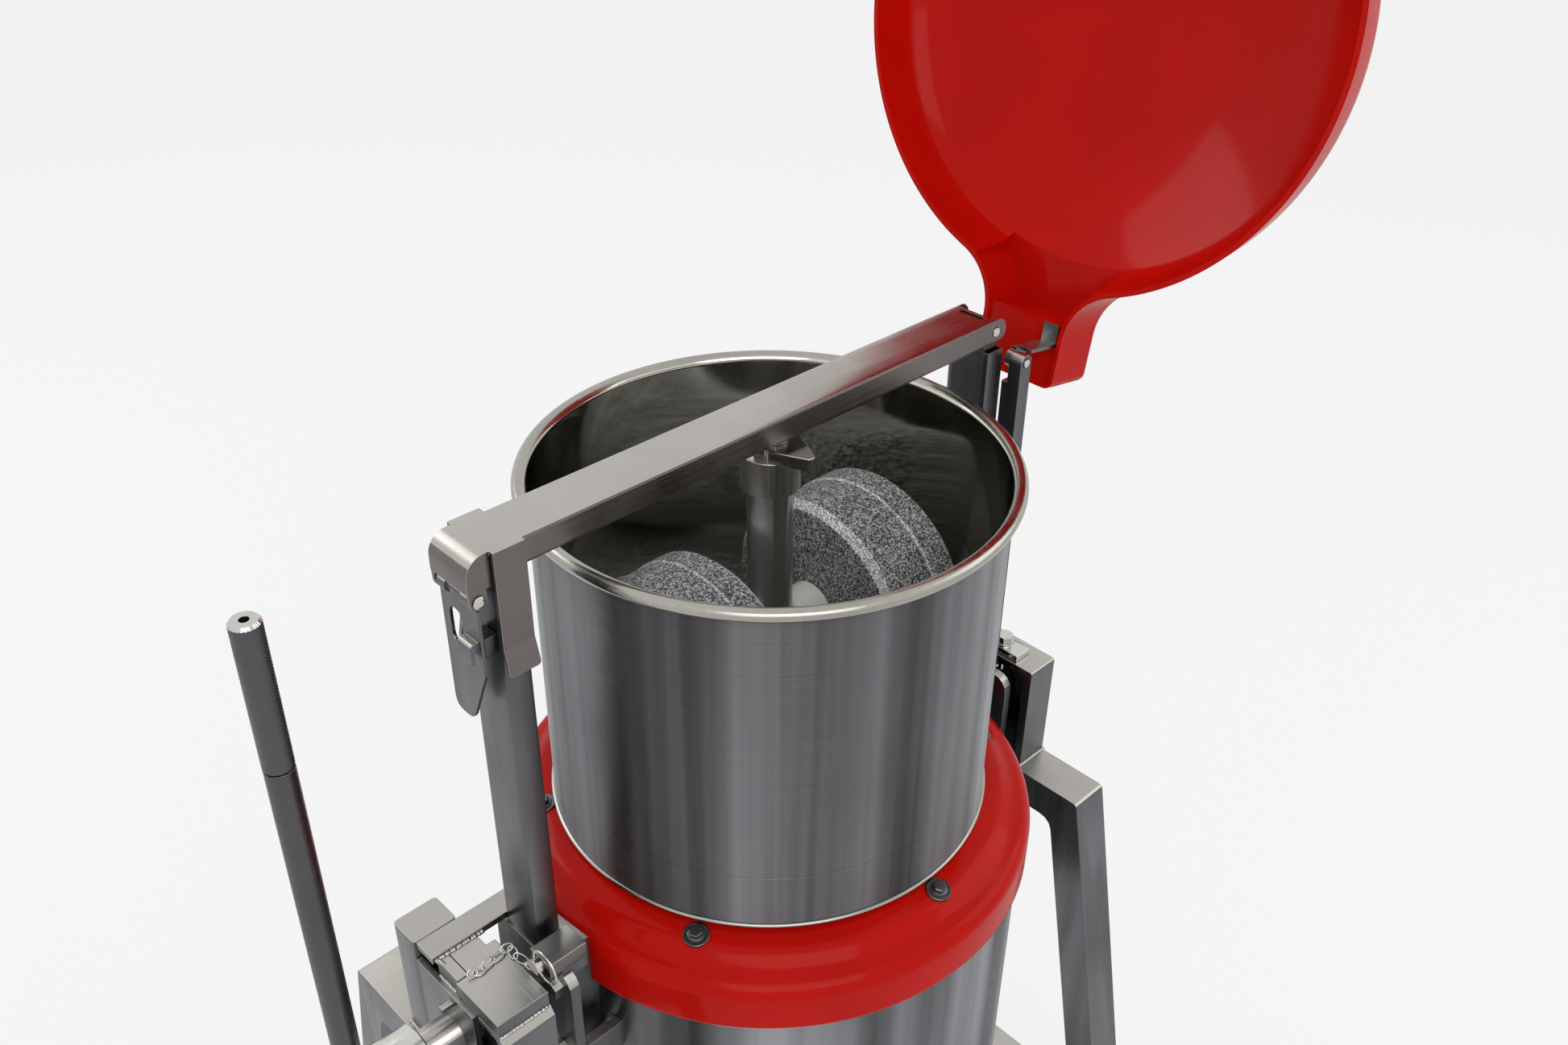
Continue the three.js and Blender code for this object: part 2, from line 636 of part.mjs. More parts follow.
function lidPostBar() {
  const half = lidPost.width / 2;
  const { x, hingeZ, frontY, backY } = lidPost;
  const side = new THREE.Shape();
  side.moveTo(x - half, pillarFoot);
  side.lineTo(x + half, pillarFoot);
  side.lineTo(x + half, hingeZ);
  side.absarc(x, hingeZ, half, 0, Math.PI, false);
  side.closePath();
  const reach = half + overrun;
  const slot = box(
    x - reach, x + reach, -lidPost.earY, -backY + overrun, -lidPost.slotBottom, hingeZ + reach,
  );
  const hole = rod("y", hinge.pinRadius + clearance, -frontY - overrun, -backY + overrun, x, hingeZ);
  return extruded("y", side, -frontY, -backY).subtract(slot).subtract(hole);
}

add("lid_post", lidPostBar(), "steel");
add("lid_hinge_pin", rod("y", hinge.pinRadius, -lidPost.frontY - pivotPin.proud, -lidPost.backY - clearance,
  lidPost.x, lidPost.hingeZ), "steel");

// Lid, drawn shut about its hinge and then swung open. u runs from the hinge to the tail's end.

const lidGroup = new THREE.Group();
lidGroup.position.set(lidPost.x, 0, lidPost.hingeZ);
lidGroup.rotation.y = THREE.MathUtils.degToRad(lid.open);
machine.add(lidGroup);

const lidCentre = [lid.centreX - lidPost.x, 0, arm.top + lid.rise - lidPost.hingeZ];

function domeProfile(radius, crease, skirtHeight, height, under) {
  const rise = height - skirtHeight;
  const sphere = (crease * crease + rise * rise) / (2 * rise);
  const half = THREE.MathUtils.radToDeg(Math.asin(crease / sphere));
  const dome = arc(0, height - sphere, sphere, upright - half, upright).slice(0, -1);
  return [[0, under], [radius, under], [radius, 0], ...dome, [0, height]];
}

function tailOutline(half, length, circle, fillet, corner) {
  const shape = new THREE.Shape();
  const centreY = half + fillet;
  const centreU = Math.sqrt((circle + fillet) ** 2 - centreY ** 2);
  const turn = Math.atan2(centreY, centreU);
  shape.moveTo(0, circle / 2);
  shape.lineTo(0, -circle / 2);
  shape.lineTo(circle * Math.cos(turn), -circle * Math.sin(turn));
  shape.absarc(centreU, -centreY, fillet, Math.PI - turn, Math.PI / 2, true);
  shape.lineTo(length - corner, -half);
  shape.absarc(length - corner, -half + corner, corner, -Math.PI / 2, 0, false);
  shape.absarc(length - corner, half - corner, corner, 0, Math.PI / 2, false);
  shape.absarc(centreU, centreY, fillet, -Math.PI / 2, Math.PI + turn, true);
  shape.closePath();
  return shape;
}

// The tail is open over the hinge strap and closed by a flat ledge from there to its end.
function lidSolid() {
  const { radius, crease, skirt: skirtHeight, height, wall } = lid;
  const outerTail = tailOutline(tail.half, tail.length, radius, tail.fillet, tail.corner);
  const outer = turned(domeProfile(radius, crease, skirtHeight, height, 0))
    .add(extruded("z", outerTail, 0, tail.height));
  const innerSkirt = skirtHeight - wall / 2;
  const innerDome = domeProfile(radius - wall, crease - wall, innerSkirt, height - wall, -overrun);
  const innerTail = tailOutline(
    tail.half - wall, tail.length - wall, radius - wall, tail.fillet + wall, tail.corner - wall,
  );
  const inner = turned(innerDome).add(extruded("z", innerTail, -overrun, tail.height - wall));
  const ledgeHalf = tail.half - wall / 2;
  const ledge = box(
    tail.ledgeNear, tail.length - wall / 2, -ledgeHalf, ledgeHalf, tail.ledgeDrop, tail.height - wall / 2,
  );
  return outer.subtract(inner).add(ledge).translate(lidCentre);
}

function lidStrap() {
  const ledgeUnder = lidCentre[2] + tail.ledgeDrop - clearance;
  const [front, back] = [-strap.frontY, -lidPost.backY - clearance];
  const earSide = -lidPost.earY + clearance;
  const inner = strap.plate - strap.offset;
  const above = hinge.knuckle + pivotPin.proud;
  const upright = box(-strap.offset, inner, front, back, above, ledgeUnder);
  const footPlate = box(inner - strap.foot, inner, front, back, ledgeUnder - strap.plate, ledgeUnder);
  const web = box(-strap.offset, hinge.knuckle - strap.plate, earSide, back, 0, 2 * hinge.knuckle);
  const knuckle = rod("y", hinge.knuckle, earSide, back);
  const bore = rod("y", hinge.pinRadius + clearance, front - overrun, back + overrun);
  return union(upright, footPlate, web, knuckle).subtract(bore);
}

add("lid", lidSolid(), "red", lidGroup);
add("lid_strap", lidStrap(), "steel", lidGroup);

// Tilting body: base cover, shell with its deck, spindle housing, motor, belt and bottom cover

function baseCover() {
  const shoulderR = skirt.radius - skirt.shoulder;
  const shoulderZ = -skirt.creaseDrop - skirt.shoulder;
  const drop = sheet;
  return turned([
    [cover.innerRadius, -cover.innerDrop],
    [cover.innerRadius, -cover.innerDrop - drop],
    [cover.flatRadius - drop / 2, -cover.flatDrop - drop],
    [cover.creaseRadius - drop / 2, -skirt.creaseDrop - drop],
    ...arc(shoulderR, shoulderZ, skirt.shoulder - drop, shoulderTurn.inner, 0, arcSteps - 2),
    [skirt.radius - drop, -skirt.bottomDrop],
    [skirt.radius, -skirt.bottomDrop],
    ...arc(shoulderR, shoulderZ, skirt.shoulder, 0, shoulderTurn.outer, arcSteps - 1),
    [cover.creaseRadius, -skirt.creaseDrop],
    [cover.flatRadius, -cover.flatDrop],
  ]);
}

function bodyShell() {
  const { radius, topDrop, bottomDrop, deck } = shell;
  const bore = housing.radius + clearance;
  const pot = turned([
    [bore, -topDrop - deck],
    [radius - sheet, -topDrop - deck],
    [radius - sheet, -bottomDrop],
    [radius, -bottomDrop],
    [radius, -topDrop],
    [bore, -topDrop],
  ]);
  const slope = (skirt.creaseDrop - cover.flatDrop) / (cover.creaseRadius - cover.flatRadius);
  const bossTop = -cover.flatDrop - sheet - slope * skirt.bossRadius - 2 * clearance - sheet;
  const bosses = Array.from({ length: skirt.bosses }, (_, i) => {
    const angle = ((i + 0.5) / skirt.bosses) * 2 * Math.PI;
    const place = [cover.flatRadius * Math.cos(angle), cover.flatRadius * Math.sin(angle)];
    return rod("z", skirt.bossRadius, -topDrop - deck / 2, bossTop, ...place);
  });
  return union(pot, ...bosses);
}

function bearingHousing() {
  const bore = spindle.radius + clearance;
  const top = -drumBase.drop - drumBase.thickness - spindle.flange - 2 * clearance;
  const flangeUnder = -shell.topDrop + clearance;
  return turned([
    [bore, -housing.bottomDrop],
    [housing.radius, -housing.bottomDrop],
    [housing.radius, flangeUnder],
    [housing.flangeRadius, flangeUnder],
    [housing.flangeRadius, flangeUnder + housing.flange],
    [housing.radius, flangeUnder + housing.flange],
    [housing.radius, top],
    [bore, top],
  ], shaftSides);
}

function motorBody() {
  const top = -shell.topDrop - shell.deck - clearance;
  const bore = motor.shaft + clearance;
  const barrel = new THREE.Shape();
  for (let i = 0; i < 2 * motor.fins; i += 1) {
    const angle = (i / motor.fins) * Math.PI;
    const radius = motor.radius - (i % 2) * motor.finDepth;
    const point = [radius * Math.cos(angle), radius * Math.sin(angle)];
    if (i === 0) barrel.moveTo(...point);
    else barrel.lineTo(...point);
  }
  const flange = rod("z", motor.flangeRadius, top - motor.flange, top, 0, 0, shaftSides);
  const hole = rod("z", bore, -motor.bottomDrop - overrun, -motor.bottomDrop + motor.flange);
  return extruded("z", barrel, -motor.bottomDrop, top - motor.flange / 2).add(flange).subtract(hole)
    .translate([0, motor.y, 0]);
}

function motorPulley() {
  const sheave = turned([
    ...grooved(0, pulley.motorGroove).slice(0, -1),
    [motor.shaft, -pulley.topDrop],
    [motor.shaft, -motor.bottomDrop + motor.flange / 2],
    [0, -motor.bottomDrop + motor.flange / 2],
  ], pinSides);
  return sheave.translate([0, motor.y, 0]);
}

// The belt's outline runs round two circles on the y axis and straight between them.
function beltOutline(offset) {
  const big = pulley.drumGroove + offset;
  const small = pulley.motorGroove + offset;
  const lean = Math.asin((big - small) / motor.y);
  const shape = new THREE.Shape();
  shape.absarc(0, 0, big, Math.PI - lean, 2 * Math.PI + lean, false);
  shape.absarc(0, motor.y, small, lean, Math.PI - lean, false);
  shape.closePath();
  return shape;
}

function driveBelt() {
  const middle = -pulley.topDrop - pulley.width / 2;
  const [low, high] = [middle - belt.width / 2, middle + belt.width / 2];
  return extruded("z", beltOutline(belt.gap + belt.thickness), low, high, belt.steps)
    .subtract(extruded("z", beltOutline(belt.gap), low - overrun, high + overrun, belt.steps));
}

function bottomCover() {
  const top = -shell.bottomDrop + 2 * base.thickness;
  const disc = turned([
    [base.holeRadius, top - base.thickness],
    [shell.radius - sheet - clearance, top - base.thickness],
    [shell.radius - sheet - clearance, top],
    [base.holeRadius, top],
  ]);
  const slots = Array.from({ length: base.slots }, (_, i) => box(
    base.slotCentre - base.slotLength / 2, base.slotCentre + base.slotLength / 2,
    -base.slotWidth / 2, base.slotWidth / 2, top - base.thickness - overrun, top + overrun,
  ).rotate([0, 0, (i * 360) / base.slots]));
  return slots.reduce((whole, slot) => whole.subtract(slot), disc);
}

add("base_cover", baseCover(), "red");
add("body_shell", bodyShell(), "polished");
add("bearing_housing", bearingHousing(), "iron");
add("motor", motorBody(), "motorPaint");
add("motor_pulley", motorPulley(), "iron");
add("drive_belt", driveBelt(), "rubber");
add("bottom_cover", bottomCover(), "steel");

// Trunnions: a flanged casting saddled on the housing, with the tilting shaft turned on it

function trunnionBody(side) {
  const { outerX, plate: thickness, front, back, half, corner } = trunnion;
  const face = outerX - thickness;
  const flangeShape = rectangle(-front, back, tiltZ - half, tiltZ + half, corner);
  const flange = extruded("x", flangeShape, face, outerX);
  const top = tiltZ + casting.top;
  const bodyStart = shell.radius - casting.half / 2;
  const bodyBlock = box(
    bodyStart, face + thickness / 2, -casting.half, casting.half, tiltZ - half, top,
  );
  const limit = rod("x", casting.sweep, 0, outerX + overrun, 0, tiltZ, shaftSides)
    .add(box(0, outerX + overrun, -front - overrun, 0, tiltZ - front, top + overrun + casting.pad));
  const saddleCut = rod("z", shell.radius + clearance, tiltZ - front, top + overrun, 0, 0, fineSides);
  const coverFoot = -skirt.bottomDrop - clearance;
  const coverCut = rod("z", skirt.radius + clearance, coverFoot, top + 2 * overrun, 0, 0, fineSides);
  const headEnd = outerX + (side < 0 ? bolt.height : bolt.lowHeight);
  const bolts = [-1, 1].map((level) => hexagon(
    "x", bolt.radius, outerX - thickness / 2, headEnd, -trunnion.boltY, tiltZ + level * trunnion.boltZ,
  ));
  const shapeSolid = union(flange, bodyBlock, ...(side < 0 ? [tonguePad(top)] : [])).intersect(limit)
    .subtract(saddleCut).subtract(coverCut);
  return union(shapeSolid, ...bolts, ...shaftPieces(side));
}

function tonguePad(top) {
  return box(
    tongueBar.rightX, trunnion.outerX, -tongueBar.front, -pillar.half - clearance, top - overrun,
    top + casting.pad,
  );
}

function shaftPieces(side) {
  const start = trunnion.outerX - trunnion.plate / 2;
  if (side > 0) return [rod("x", shaft.radius, start, shaft.rightEndX, 0, tiltZ, shaftSides)];
  const stubStart = shaft.endX - overrun;
  return [
    rod("x", shaft.radius, start, shaft.endX, 0, tiltZ, shaftSides),
    rod("x", shaft.stub, stubStart, shaft.endX + shaft.stubLength, 0, tiltZ, shaftSides),
  ];
}

add("left_trunnion", trunnionBody(-1).scale([-1, 1, 1]), "steel");
add("right_trunnion", trunnionBody(1), "steel");

function tongueSolid() {
  const { leftX, rightX, front, back, top, height, corner } = tongueBar;
  const bore = pullPin.radius + clearance;
  const hole = rod("x", bore, -leftX - overrun, -leftX + pullPin.length, pullPin.y, pullPin.z);
  const section = rectangle(-front, -back, -top - height, -top, corner);
  return extruded("x", section, -leftX, -rightX, tubeSteps).subtract(hole);
}

function hookedPlate() {
  const { leftX, rightX, front, thickness, topDrop, height } = hookPlate;
  const shape = outline([
    [-leftX, -front],
    [-rightX, -front, thickness],
    [-rightX, -front + hookPlate.return, 0],
    [-rightX - thickness, -front + hookPlate.return, 0],
    [-rightX - thickness, -front + thickness, 0],
    [-leftX, -front + thickness],
  ]);
  const bottom = -topDrop - height;
  const shellRoom = rod("z", shell.radius + clearance, bottom - overrun, overrun - topDrop, 0, 0, fineSides);
  return extruded("z", shape, bottom, -topDrop).subtract(shellRoom);
}

add("tongue_bar", tongueSolid(), "steel");
add("hooked_plate", hookedPlate(), "steel");

// Handle: hub on the shaft's end, plain rod and knurled grip

function handleHubSolid() {
  const hubRod = rod("x", handleHub.radius, -handleHub.outerX, -handleHub.innerX, 0, tiltZ, shaftSides);
  const socketEnd = -shaft.endX - shaft.stubLength - clearance;
  const socketStart = -handleHub.innerX + overrun;
  const socket = rod("x", shaft.stub + clearance, socketEnd, socketStart, 0, tiltZ, shaftSides);
  const boreFoot = tiltZ - handleHub.bore + handle.radius;
  const boreTop = tiltZ + handleHub.bore + overrun;
  const bore = rod("z", handle.radius + clearance, boreFoot, boreTop, -handle.x, 0, shaftSides);
  return hubRod.subtract(socket).subtract(bore);
}

function handleRod() {
  const bottom = tiltZ - handleHub.bore + handle.radius + clearance;
  const shoulder = -handle.gripBottomDrop - clearance;
  const spigotTop = shoulder + handle.spigotLength;
  return turned([
    [0, bottom],
    [handle.radius, bottom],
    [handle.radius, shoulder],
    [handle.spigot, shoulder],
    [handle.spigot, spigotTop],
    [0, spigotTop],
  ], pinSides).translate([-handle.x, 0, 0]);
}

function handleGrip() {
  const bottom = -handle.gripBottomDrop;
  const boreTop = bottom + handle.spigotLength;
  return turned([
    [0, boreTop],
    [handle.spigot + clearance, boreTop],
    [handle.spigot + clearance, bottom],
    [handle.radius, bottom],
    [handle.radius, handle.top - handle.chamfer],
    [handle.radius - handle.chamfer, handle.top],
    [handle.socket, handle.top],
    [handle.socket, handle.top - 2 * handle.socket],
    [0, handle.top - 3 * handle.socket],
  ], pinSides).translate([-handle.x, 0, 0]);
}

add("handle_hub", handleHubSolid(), "steel");
add("handle_rod", handleRod(), "steel");
add("handle_grip", handleGrip(), "knurled");

// Stand: two side frames, each a top tube bent into splayed legs, tied by low rails

function halfWidth(drop) {
  return frame.topHalf + frame.slopeShare * (drop - frame.drop);
}

const legDrop = rimHeight - foot.height;

// The bent tube's outline in the (y, z) plane, drawn in by inset on every side.
function frameOutline(inset, bottom, inner, outer) {
  const top = frame.drop + inset;
  const under = frame.drop + frame.tube - inset;
  const outside = (drop) => halfWidth(drop) - inset;
  const inside = (drop) => halfWidth(drop) - frame.legWidth + inset;
  return outline([
    [-outside(top), -top, outer],
    [-outside(bottom), -bottom],
    [-inside(bottom), -bottom],
    [-inside(under), -under, inner],
    [inside(under), -under, inner],
    [inside(bottom), -bottom],
    [outside(bottom), -bottom],
    [outside(top), -top, outer],
  ]);
}

function sideFrame(x) {
  const half = frame.xWidth / 2;
  const inside = frameOutline(sheet, legDrop + overrun, 0, 0);
  const hollow = extruded("x", inside, x - half + sheet, x + half - sheet);
  return extruded("x", frameOutline(0, legDrop, frame.inner, frame.outer), x - half, x + half, tubeSteps + 1)
    .subtract(hollow);
}

function lowRail(x) {
  const bottomDrop = railDrop + rail.height;
  const inside = (drop) => halfWidth(drop) - frame.legWidth - clearance;
  const shape = outline([
    [-inside(bottomDrop), -bottomDrop],
    [inside(bottomDrop), -bottomDrop],
    [inside(railDrop), -railDrop],
    [-inside(railDrop), -railDrop],
  ]);
  const half = frame.xWidth / 2;
  const reach = inside(bottomDrop) + overrun;
  const hollowX = half - sheet;
  const hollow = box(x - hollowX, x + hollowX, -reach, reach, sheet - bottomDrop, -railDrop - sheet);
  return extruded("x", shape, x - half, x + half).subtract(hollow);
}

function crossRail(y) {
  const left = frameX.left + frame.xWidth / 2 + clearance;
  const right = frameX.right - frame.xWidth / 2 - clearance;
  const half = rail.crossWidth / 2;
  const bottom = -railDrop - rail.height;
  const section = rectangle(y - half, y + half, bottom, -railDrop, rail.corner);
  const inside = rectangle(y - half + sheet, y + half - sheet, bottom + sheet, -railDrop - sheet);
  return extruded("x", section, left, right, tubeSteps)
    .subtract(extruded("x", inside, left - overrun, right + overrun));
}

function footPad(x, side) {
  const y = side * (halfWidth(legDrop) - frame.legWidth / 2);
  const top = -legDrop - clearance;
  return turned([
    [0, floorZ],
    [foot.radius - foot.chamfer, floorZ],
    [foot.radius, floorZ + foot.chamfer],
    [foot.top, top],
    [0, top],
  ], pinSides).translate([x, y, 0]);
}

for (const [name, x] of Object.entries(frameX)) {
  add(`${name}_side_frame`, sideFrame(x), "steel");
  add(`${name}_low_rail`, lowRail(x), "steel");
  add(`${name}_front_foot`, footPad(x, -1), "rubber");
  add(`${name}_rear_foot`, footPad(x, 1), "rubber");
}
add("front_cross_rail", crossRail(-rail.crossY), "steel");
add("rear_cross_rail", crossRail(rail.crossY), "steel");

// Right bearing: pillow block under an inverted U of flat bar

function pillowBlock(x, width, half) {
  const footZ = -frame.drop + clearance;
  const shape = new THREE.Shape();
  const rise = footZ + bearing.foot;
  shape.moveTo(-half, footZ);
  shape.lineTo(half, footZ);
  shape.lineTo(half, rise);
  shape.lineTo(bearing.hump, rise);
  shape.absarc(0, tiltZ, bearing.hump, 0, Math.PI, false);
  shape.lineTo(-bearing.hump, rise);
  shape.lineTo(-half, rise);
  shape.closePath();
  const bore = rod("x", shaft.radius + clearance, x - width, x + width, 0, tiltZ, shaftSides);
  return extruded("x", shape, x - width / 2, x + width / 2, 2 * arcSteps).subtract(bore);
}

// A bolt and a washer at each end of the bearing's foot.
function footBolts(x) {
  const top = clearance + bearing.foot - frame.drop;
  const washerTop = top + footBolt.washer;
  return union(...[-footBolt.y, footBolt.y].flatMap((y) => [
    rod("z", footBolt.washerRadius, top - clearance, washerTop, x, y),
    hexagon("z", bolt.radius, top, washerTop + bolt.height, x, y),
  ]));
}

function rightBracket() {
  const { innerX, outerX, half, wall } = bracket;
  const bottom = -frame.drop + clearance;
  const shape = outline([
    [-half, bottom],
    [wall - half, bottom],
    [wall - half, -bracket.topDrop - wall, bracket.inner],
    [half - wall, -bracket.topDrop - wall, bracket.inner],
    [half - wall, bottom],
    [half, bottom],
    [half, -bracket.topDrop, bracket.corner],
    [-half, -bracket.topDrop, bracket.corner],
  ]);
  const { x, y, shank } = strapBolt;
  const top = -bracket.topDrop;
  const hole = rod("z", shank + clearance, top - wall - overrun, top + overrun, x, y);
  const backHalf = half - bracket.corner;
  const back = box(outerX - bracket.back, outerX, -backHalf, backHalf, bottom, top - wall / 2);
  return extruded("x", shape, innerX, outerX).subtract(hole).add(back);
}

function strapBoltSolid() {
  const { x, y, length, width } = strapBolt;
  const bottom = -bracket.topDrop + clearance;
  const plateTop = bottom + strapBolt.plate;
  const washerTop = plateTop + strapBolt.washer;
  return union(
    box(x - width / 2, x + width / 2, y - length / 2, y + length / 2, bottom, plateTop),
    rod("z", strapBolt.washerRadius, plateTop - clearance, washerTop, x, y),
    hexagon("z", bolt.radius, washerTop - clearance, washerTop + bolt.height, x, y),
    rod("z", strapBolt.shank, bottom - strapBolt.reach, washerTop, x, y),
  );
}

const rightBearing = pillowBlock(bearing.rightX, bearing.width, bearing.half);
add("right_bearing", rightBearing.add(footBolts(bearing.rightX)), "iron");
add("right_bracket", rightBracket(), "steel");
add("strap_bolt", strapBoltSolid(), "steel");

// Left bearing: pillow block, upright plate, lock block, stop bar and rear post

function rearPost() {
  const { leftX, width, front, depth, corner } = post;
  const bottom = -frame.drop + clearance;
  const back = front + depth;
  const section = rectangle(leftX, leftX + width, front, back, corner);
  const inside = box(
    leftX + sheet, leftX + width - sheet, front + sheet, back - sheet, bottom - overrun,
    -post.topDrop - sheet,
  );
  return extruded("z", section, bottom, -post.topDrop, tubeSteps).subtract(inside);
}

function stopBarSolid() {
  return box(stopBar.leftX, stopBar.rightX, pillar.half + clearance, post.front - clearance,
    -post.topDrop - stopBar.thickness, -post.topDrop);
}

const barBackX = post.leftX + plate.thickness + clearance;

function lockBlock() {
  const body = box(block.leftX, block.rightX, -block.front, block.back, blockUnder, -block.topDrop);
  const notch = box(block.leftX - overrun, barBackX + bar.thickness + clearance, -bar.front - clearance,
    block.back + overrun, blockUnder - overrun, -block.topDrop + overrun);
  const strip = box(block.stripX, block.rightX + overrun, block.stripBack, block.back + overrun,
    blockUnder - overrun, -block.topDrop + overrun);
  return body.subtract(notch).subtract(strip);
}

function bearingPlate() {
  const top = blockUnder - clearance;
  const upright = box(post.leftX, post.leftX + plate.thickness, -plate.front, post.front - clearance,
    -frame.drop + clearance, top);
  const boreRadius = shaft.radius + clearance;
  const bore = rod("x", boreRadius, post.leftX - overrun, barBackX + overrun, 0, tiltZ, shaftSides);
  const studRoot = post.leftX + plate.thickness / 2;
  const stud = rod("x", plate.studRadius, post.leftX - plate.stud, studRoot, plate.studY, -plate.studDrop);
  return upright.subtract(bore).add(stud);
}

// A flat bar stands on the frame in front of the bearing, turns back under the block and carries it.
// Beside the frame its foot is cut away, where the pull pin comes past when the machine is tilted.
function blockStandSolid() {
  const top = blockUnder - clearance;
  const { front, back, plate: thick, slant, corner } = blockStand;
  const bottom = clearance - frame.drop;
  const shape = outline([
    [-front, bottom],
    [thick - front, bottom],
    [thick - front, top - slant - thick, corner],
    [-block.front + thick, top - thick],
    [-back, top - thick],
    [-back, top],
    [-block.front, top],
    [-front, top - slant, corner],
  ]);
  const frameSide = frameX.left + frame.xWidth / 2;
  const room = box(
    frameSide, block.rightX + overrun, -front - overrun, overrun - back, bottom - overrun,
    bottom + blockStand.cutRise,
  );
  return extruded("x", shape, block.leftX, block.rightX, tubeSteps).subtract(room);
}

function chainBar() {
  const bottom = tiltZ + shaft.radius + bar.shaftClearance;
  return box(barBackX, barBackX + bar.thickness, -bar.front, bar.back - clearance, bottom, -block.topDrop);
}

add("rear_post", rearPost(), "steel");
add("stop_bar", stopBarSolid(), "steel");
add("lock_block", lockBlock(), "steel");
add("block_stand", blockStandSolid(), "steel");
add("bearing_plate", bearingPlate(), "steel");
add("left_bearing", pillowBlock(bearing.leftX, bearing.leftWidth, bearing.leftHalf), "iron");
add("chain_bar", chainBar(), "steel");

// Pull pin in the tongue bar, its key ring, and the chain that lies on the lock block

function pullPinSolid() {
  const end = -tongueBar.leftX;
  const { y, z, length } = pullPin;
  const shank = rod("x", pullPin.radius, end - clearance, end + length - clearance, y, z);
  const head = rod("x", pullPin.headRadius, end - pullPin.head, end - clearance, y, z);
  return union(shank, head);
}

// A wire bent into a closed loop with straight sides of 2 * half; half = 0 gives a plain ring.
function wireLoop(centre, along, across, half, radius, wire, steps, sides = 4) {
  const point = (i) => {
    const angle = ((i + 0.5) / steps) * 2 * Math.PI;
    return centre.clone()
      .addScaledVector(along, half * Math.sign(Math.cos(angle)) + radius * Math.cos(angle))
      .addScaledVector(across, radius * Math.sin(angle));
  };
  const normal = new THREE.Vector3().crossVectors(along, across).normalize();
  const corners = [];
  const index = [];
  for (let i = 0; i < steps; i += 1) {
    const ahead = point(i + 1).sub(point(i - 1)).normalize();
    const out = new THREE.Vector3().crossVectors(ahead, normal);
    const next = ((i + 1) % steps) * sides;
    for (let k = 0; k < sides; k += 1) {
      const angle = (k / sides) * 2 * Math.PI;
      const kNext = (k + 1) % sides;
      corners.push(point(i)
        .addScaledVector(out, wire * Math.cos(angle))
        .addScaledVector(normal, wire * Math.sin(angle)));
      index.push(i * sides + k, next + k, i * sides + kNext, i * sides + kNext, next + k, next + kNext);
    }
  }
  return toSolid(new THREE.BufferGeometry().setFromPoints(corners).setIndex(index));
}

const [alongY, alongZ] = [new THREE.Vector3(0, 1, 0), new THREE.Vector3(0, 0, 1)];

// The ring threads the pin's head and stands just above the lock block's top.
function keyRing(wire) {
  const lift = THREE.MathUtils.degToRad(ring.liftDegrees);
  const centre = new THREE.Vector3(
    -tongueBar.leftX - pullPin.head / 2, pullPin.y - ring.radius * Math.cos(lift),
    pullPin.z + ring.radius * Math.sin(lift),
  );
  return wireLoop(centre, alongY, alongZ, 0, ring.radius, wire, ring.steps);
}

// Links lie flat and on edge by turns, each pressed against the next, from the eye on the chain bar.
function pinChain() {
  const start = new THREE.Vector3(barBackX + bar.thickness + link.length / 2, -bar.front - link.width / 2,
    -block.topDrop + clearance + link.width / 2);
  const end = new THREE.Vector3(block.rightX - link.length / 2, start.y, start.z);
  const heading = end.clone().sub(start).normalize();
  const half = (link.length - link.width) / 2;
  const pitch = link.length - 3 * link.wire;
  const count = Math.floor(start.distanceTo(end) / pitch) + 1;
  const links = Array.from({ length: count }, (_, i) => {
    const centre = start.clone().addScaledVector(heading, i * pitch);
    const across = i % 2 ? alongY : alongZ;
    return wireLoop(centre, heading, across, half, link.width / 2 - link.wire, link.wire, link.steps);
  });
  return union(...links);
}

add("lock_pin", pullPinSolid().subtract(keyRing(ring.wire + clearance)), "steel");
add("key_ring", keyRing(ring.wire), "steel");
add("pin_chain", pinChain(), "steel");

// Set the machine down on z = 0 with its outline centred
machine.updateMatrixWorld(true);
const bounds = new THREE.Box3().setFromObject(machine, true);
const middle = bounds.getCenter(new THREE.Vector3());
machine.position.set(-middle.x, -middle.y, -bounds.min.z);

export default machine;
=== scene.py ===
# %% [markdown]
# # A tilting wet grinder, dressed for its picture
# The machine's solids come ready made as a fixed frame of nodes and bodies. This lesson gives them
# their finish. The turned and moulded forms are modelled again with smooth outlines, sheet and bar
# get rounded edges and brushed steel, and screws, chain, knurling and welds are added.
# Every piece rides on the body that carries it, so the machine can still tilt, turn and open.

# %% Load the frame
import json
import math
import random

import bmesh
import bpy
from mathutils import Matrix, Vector

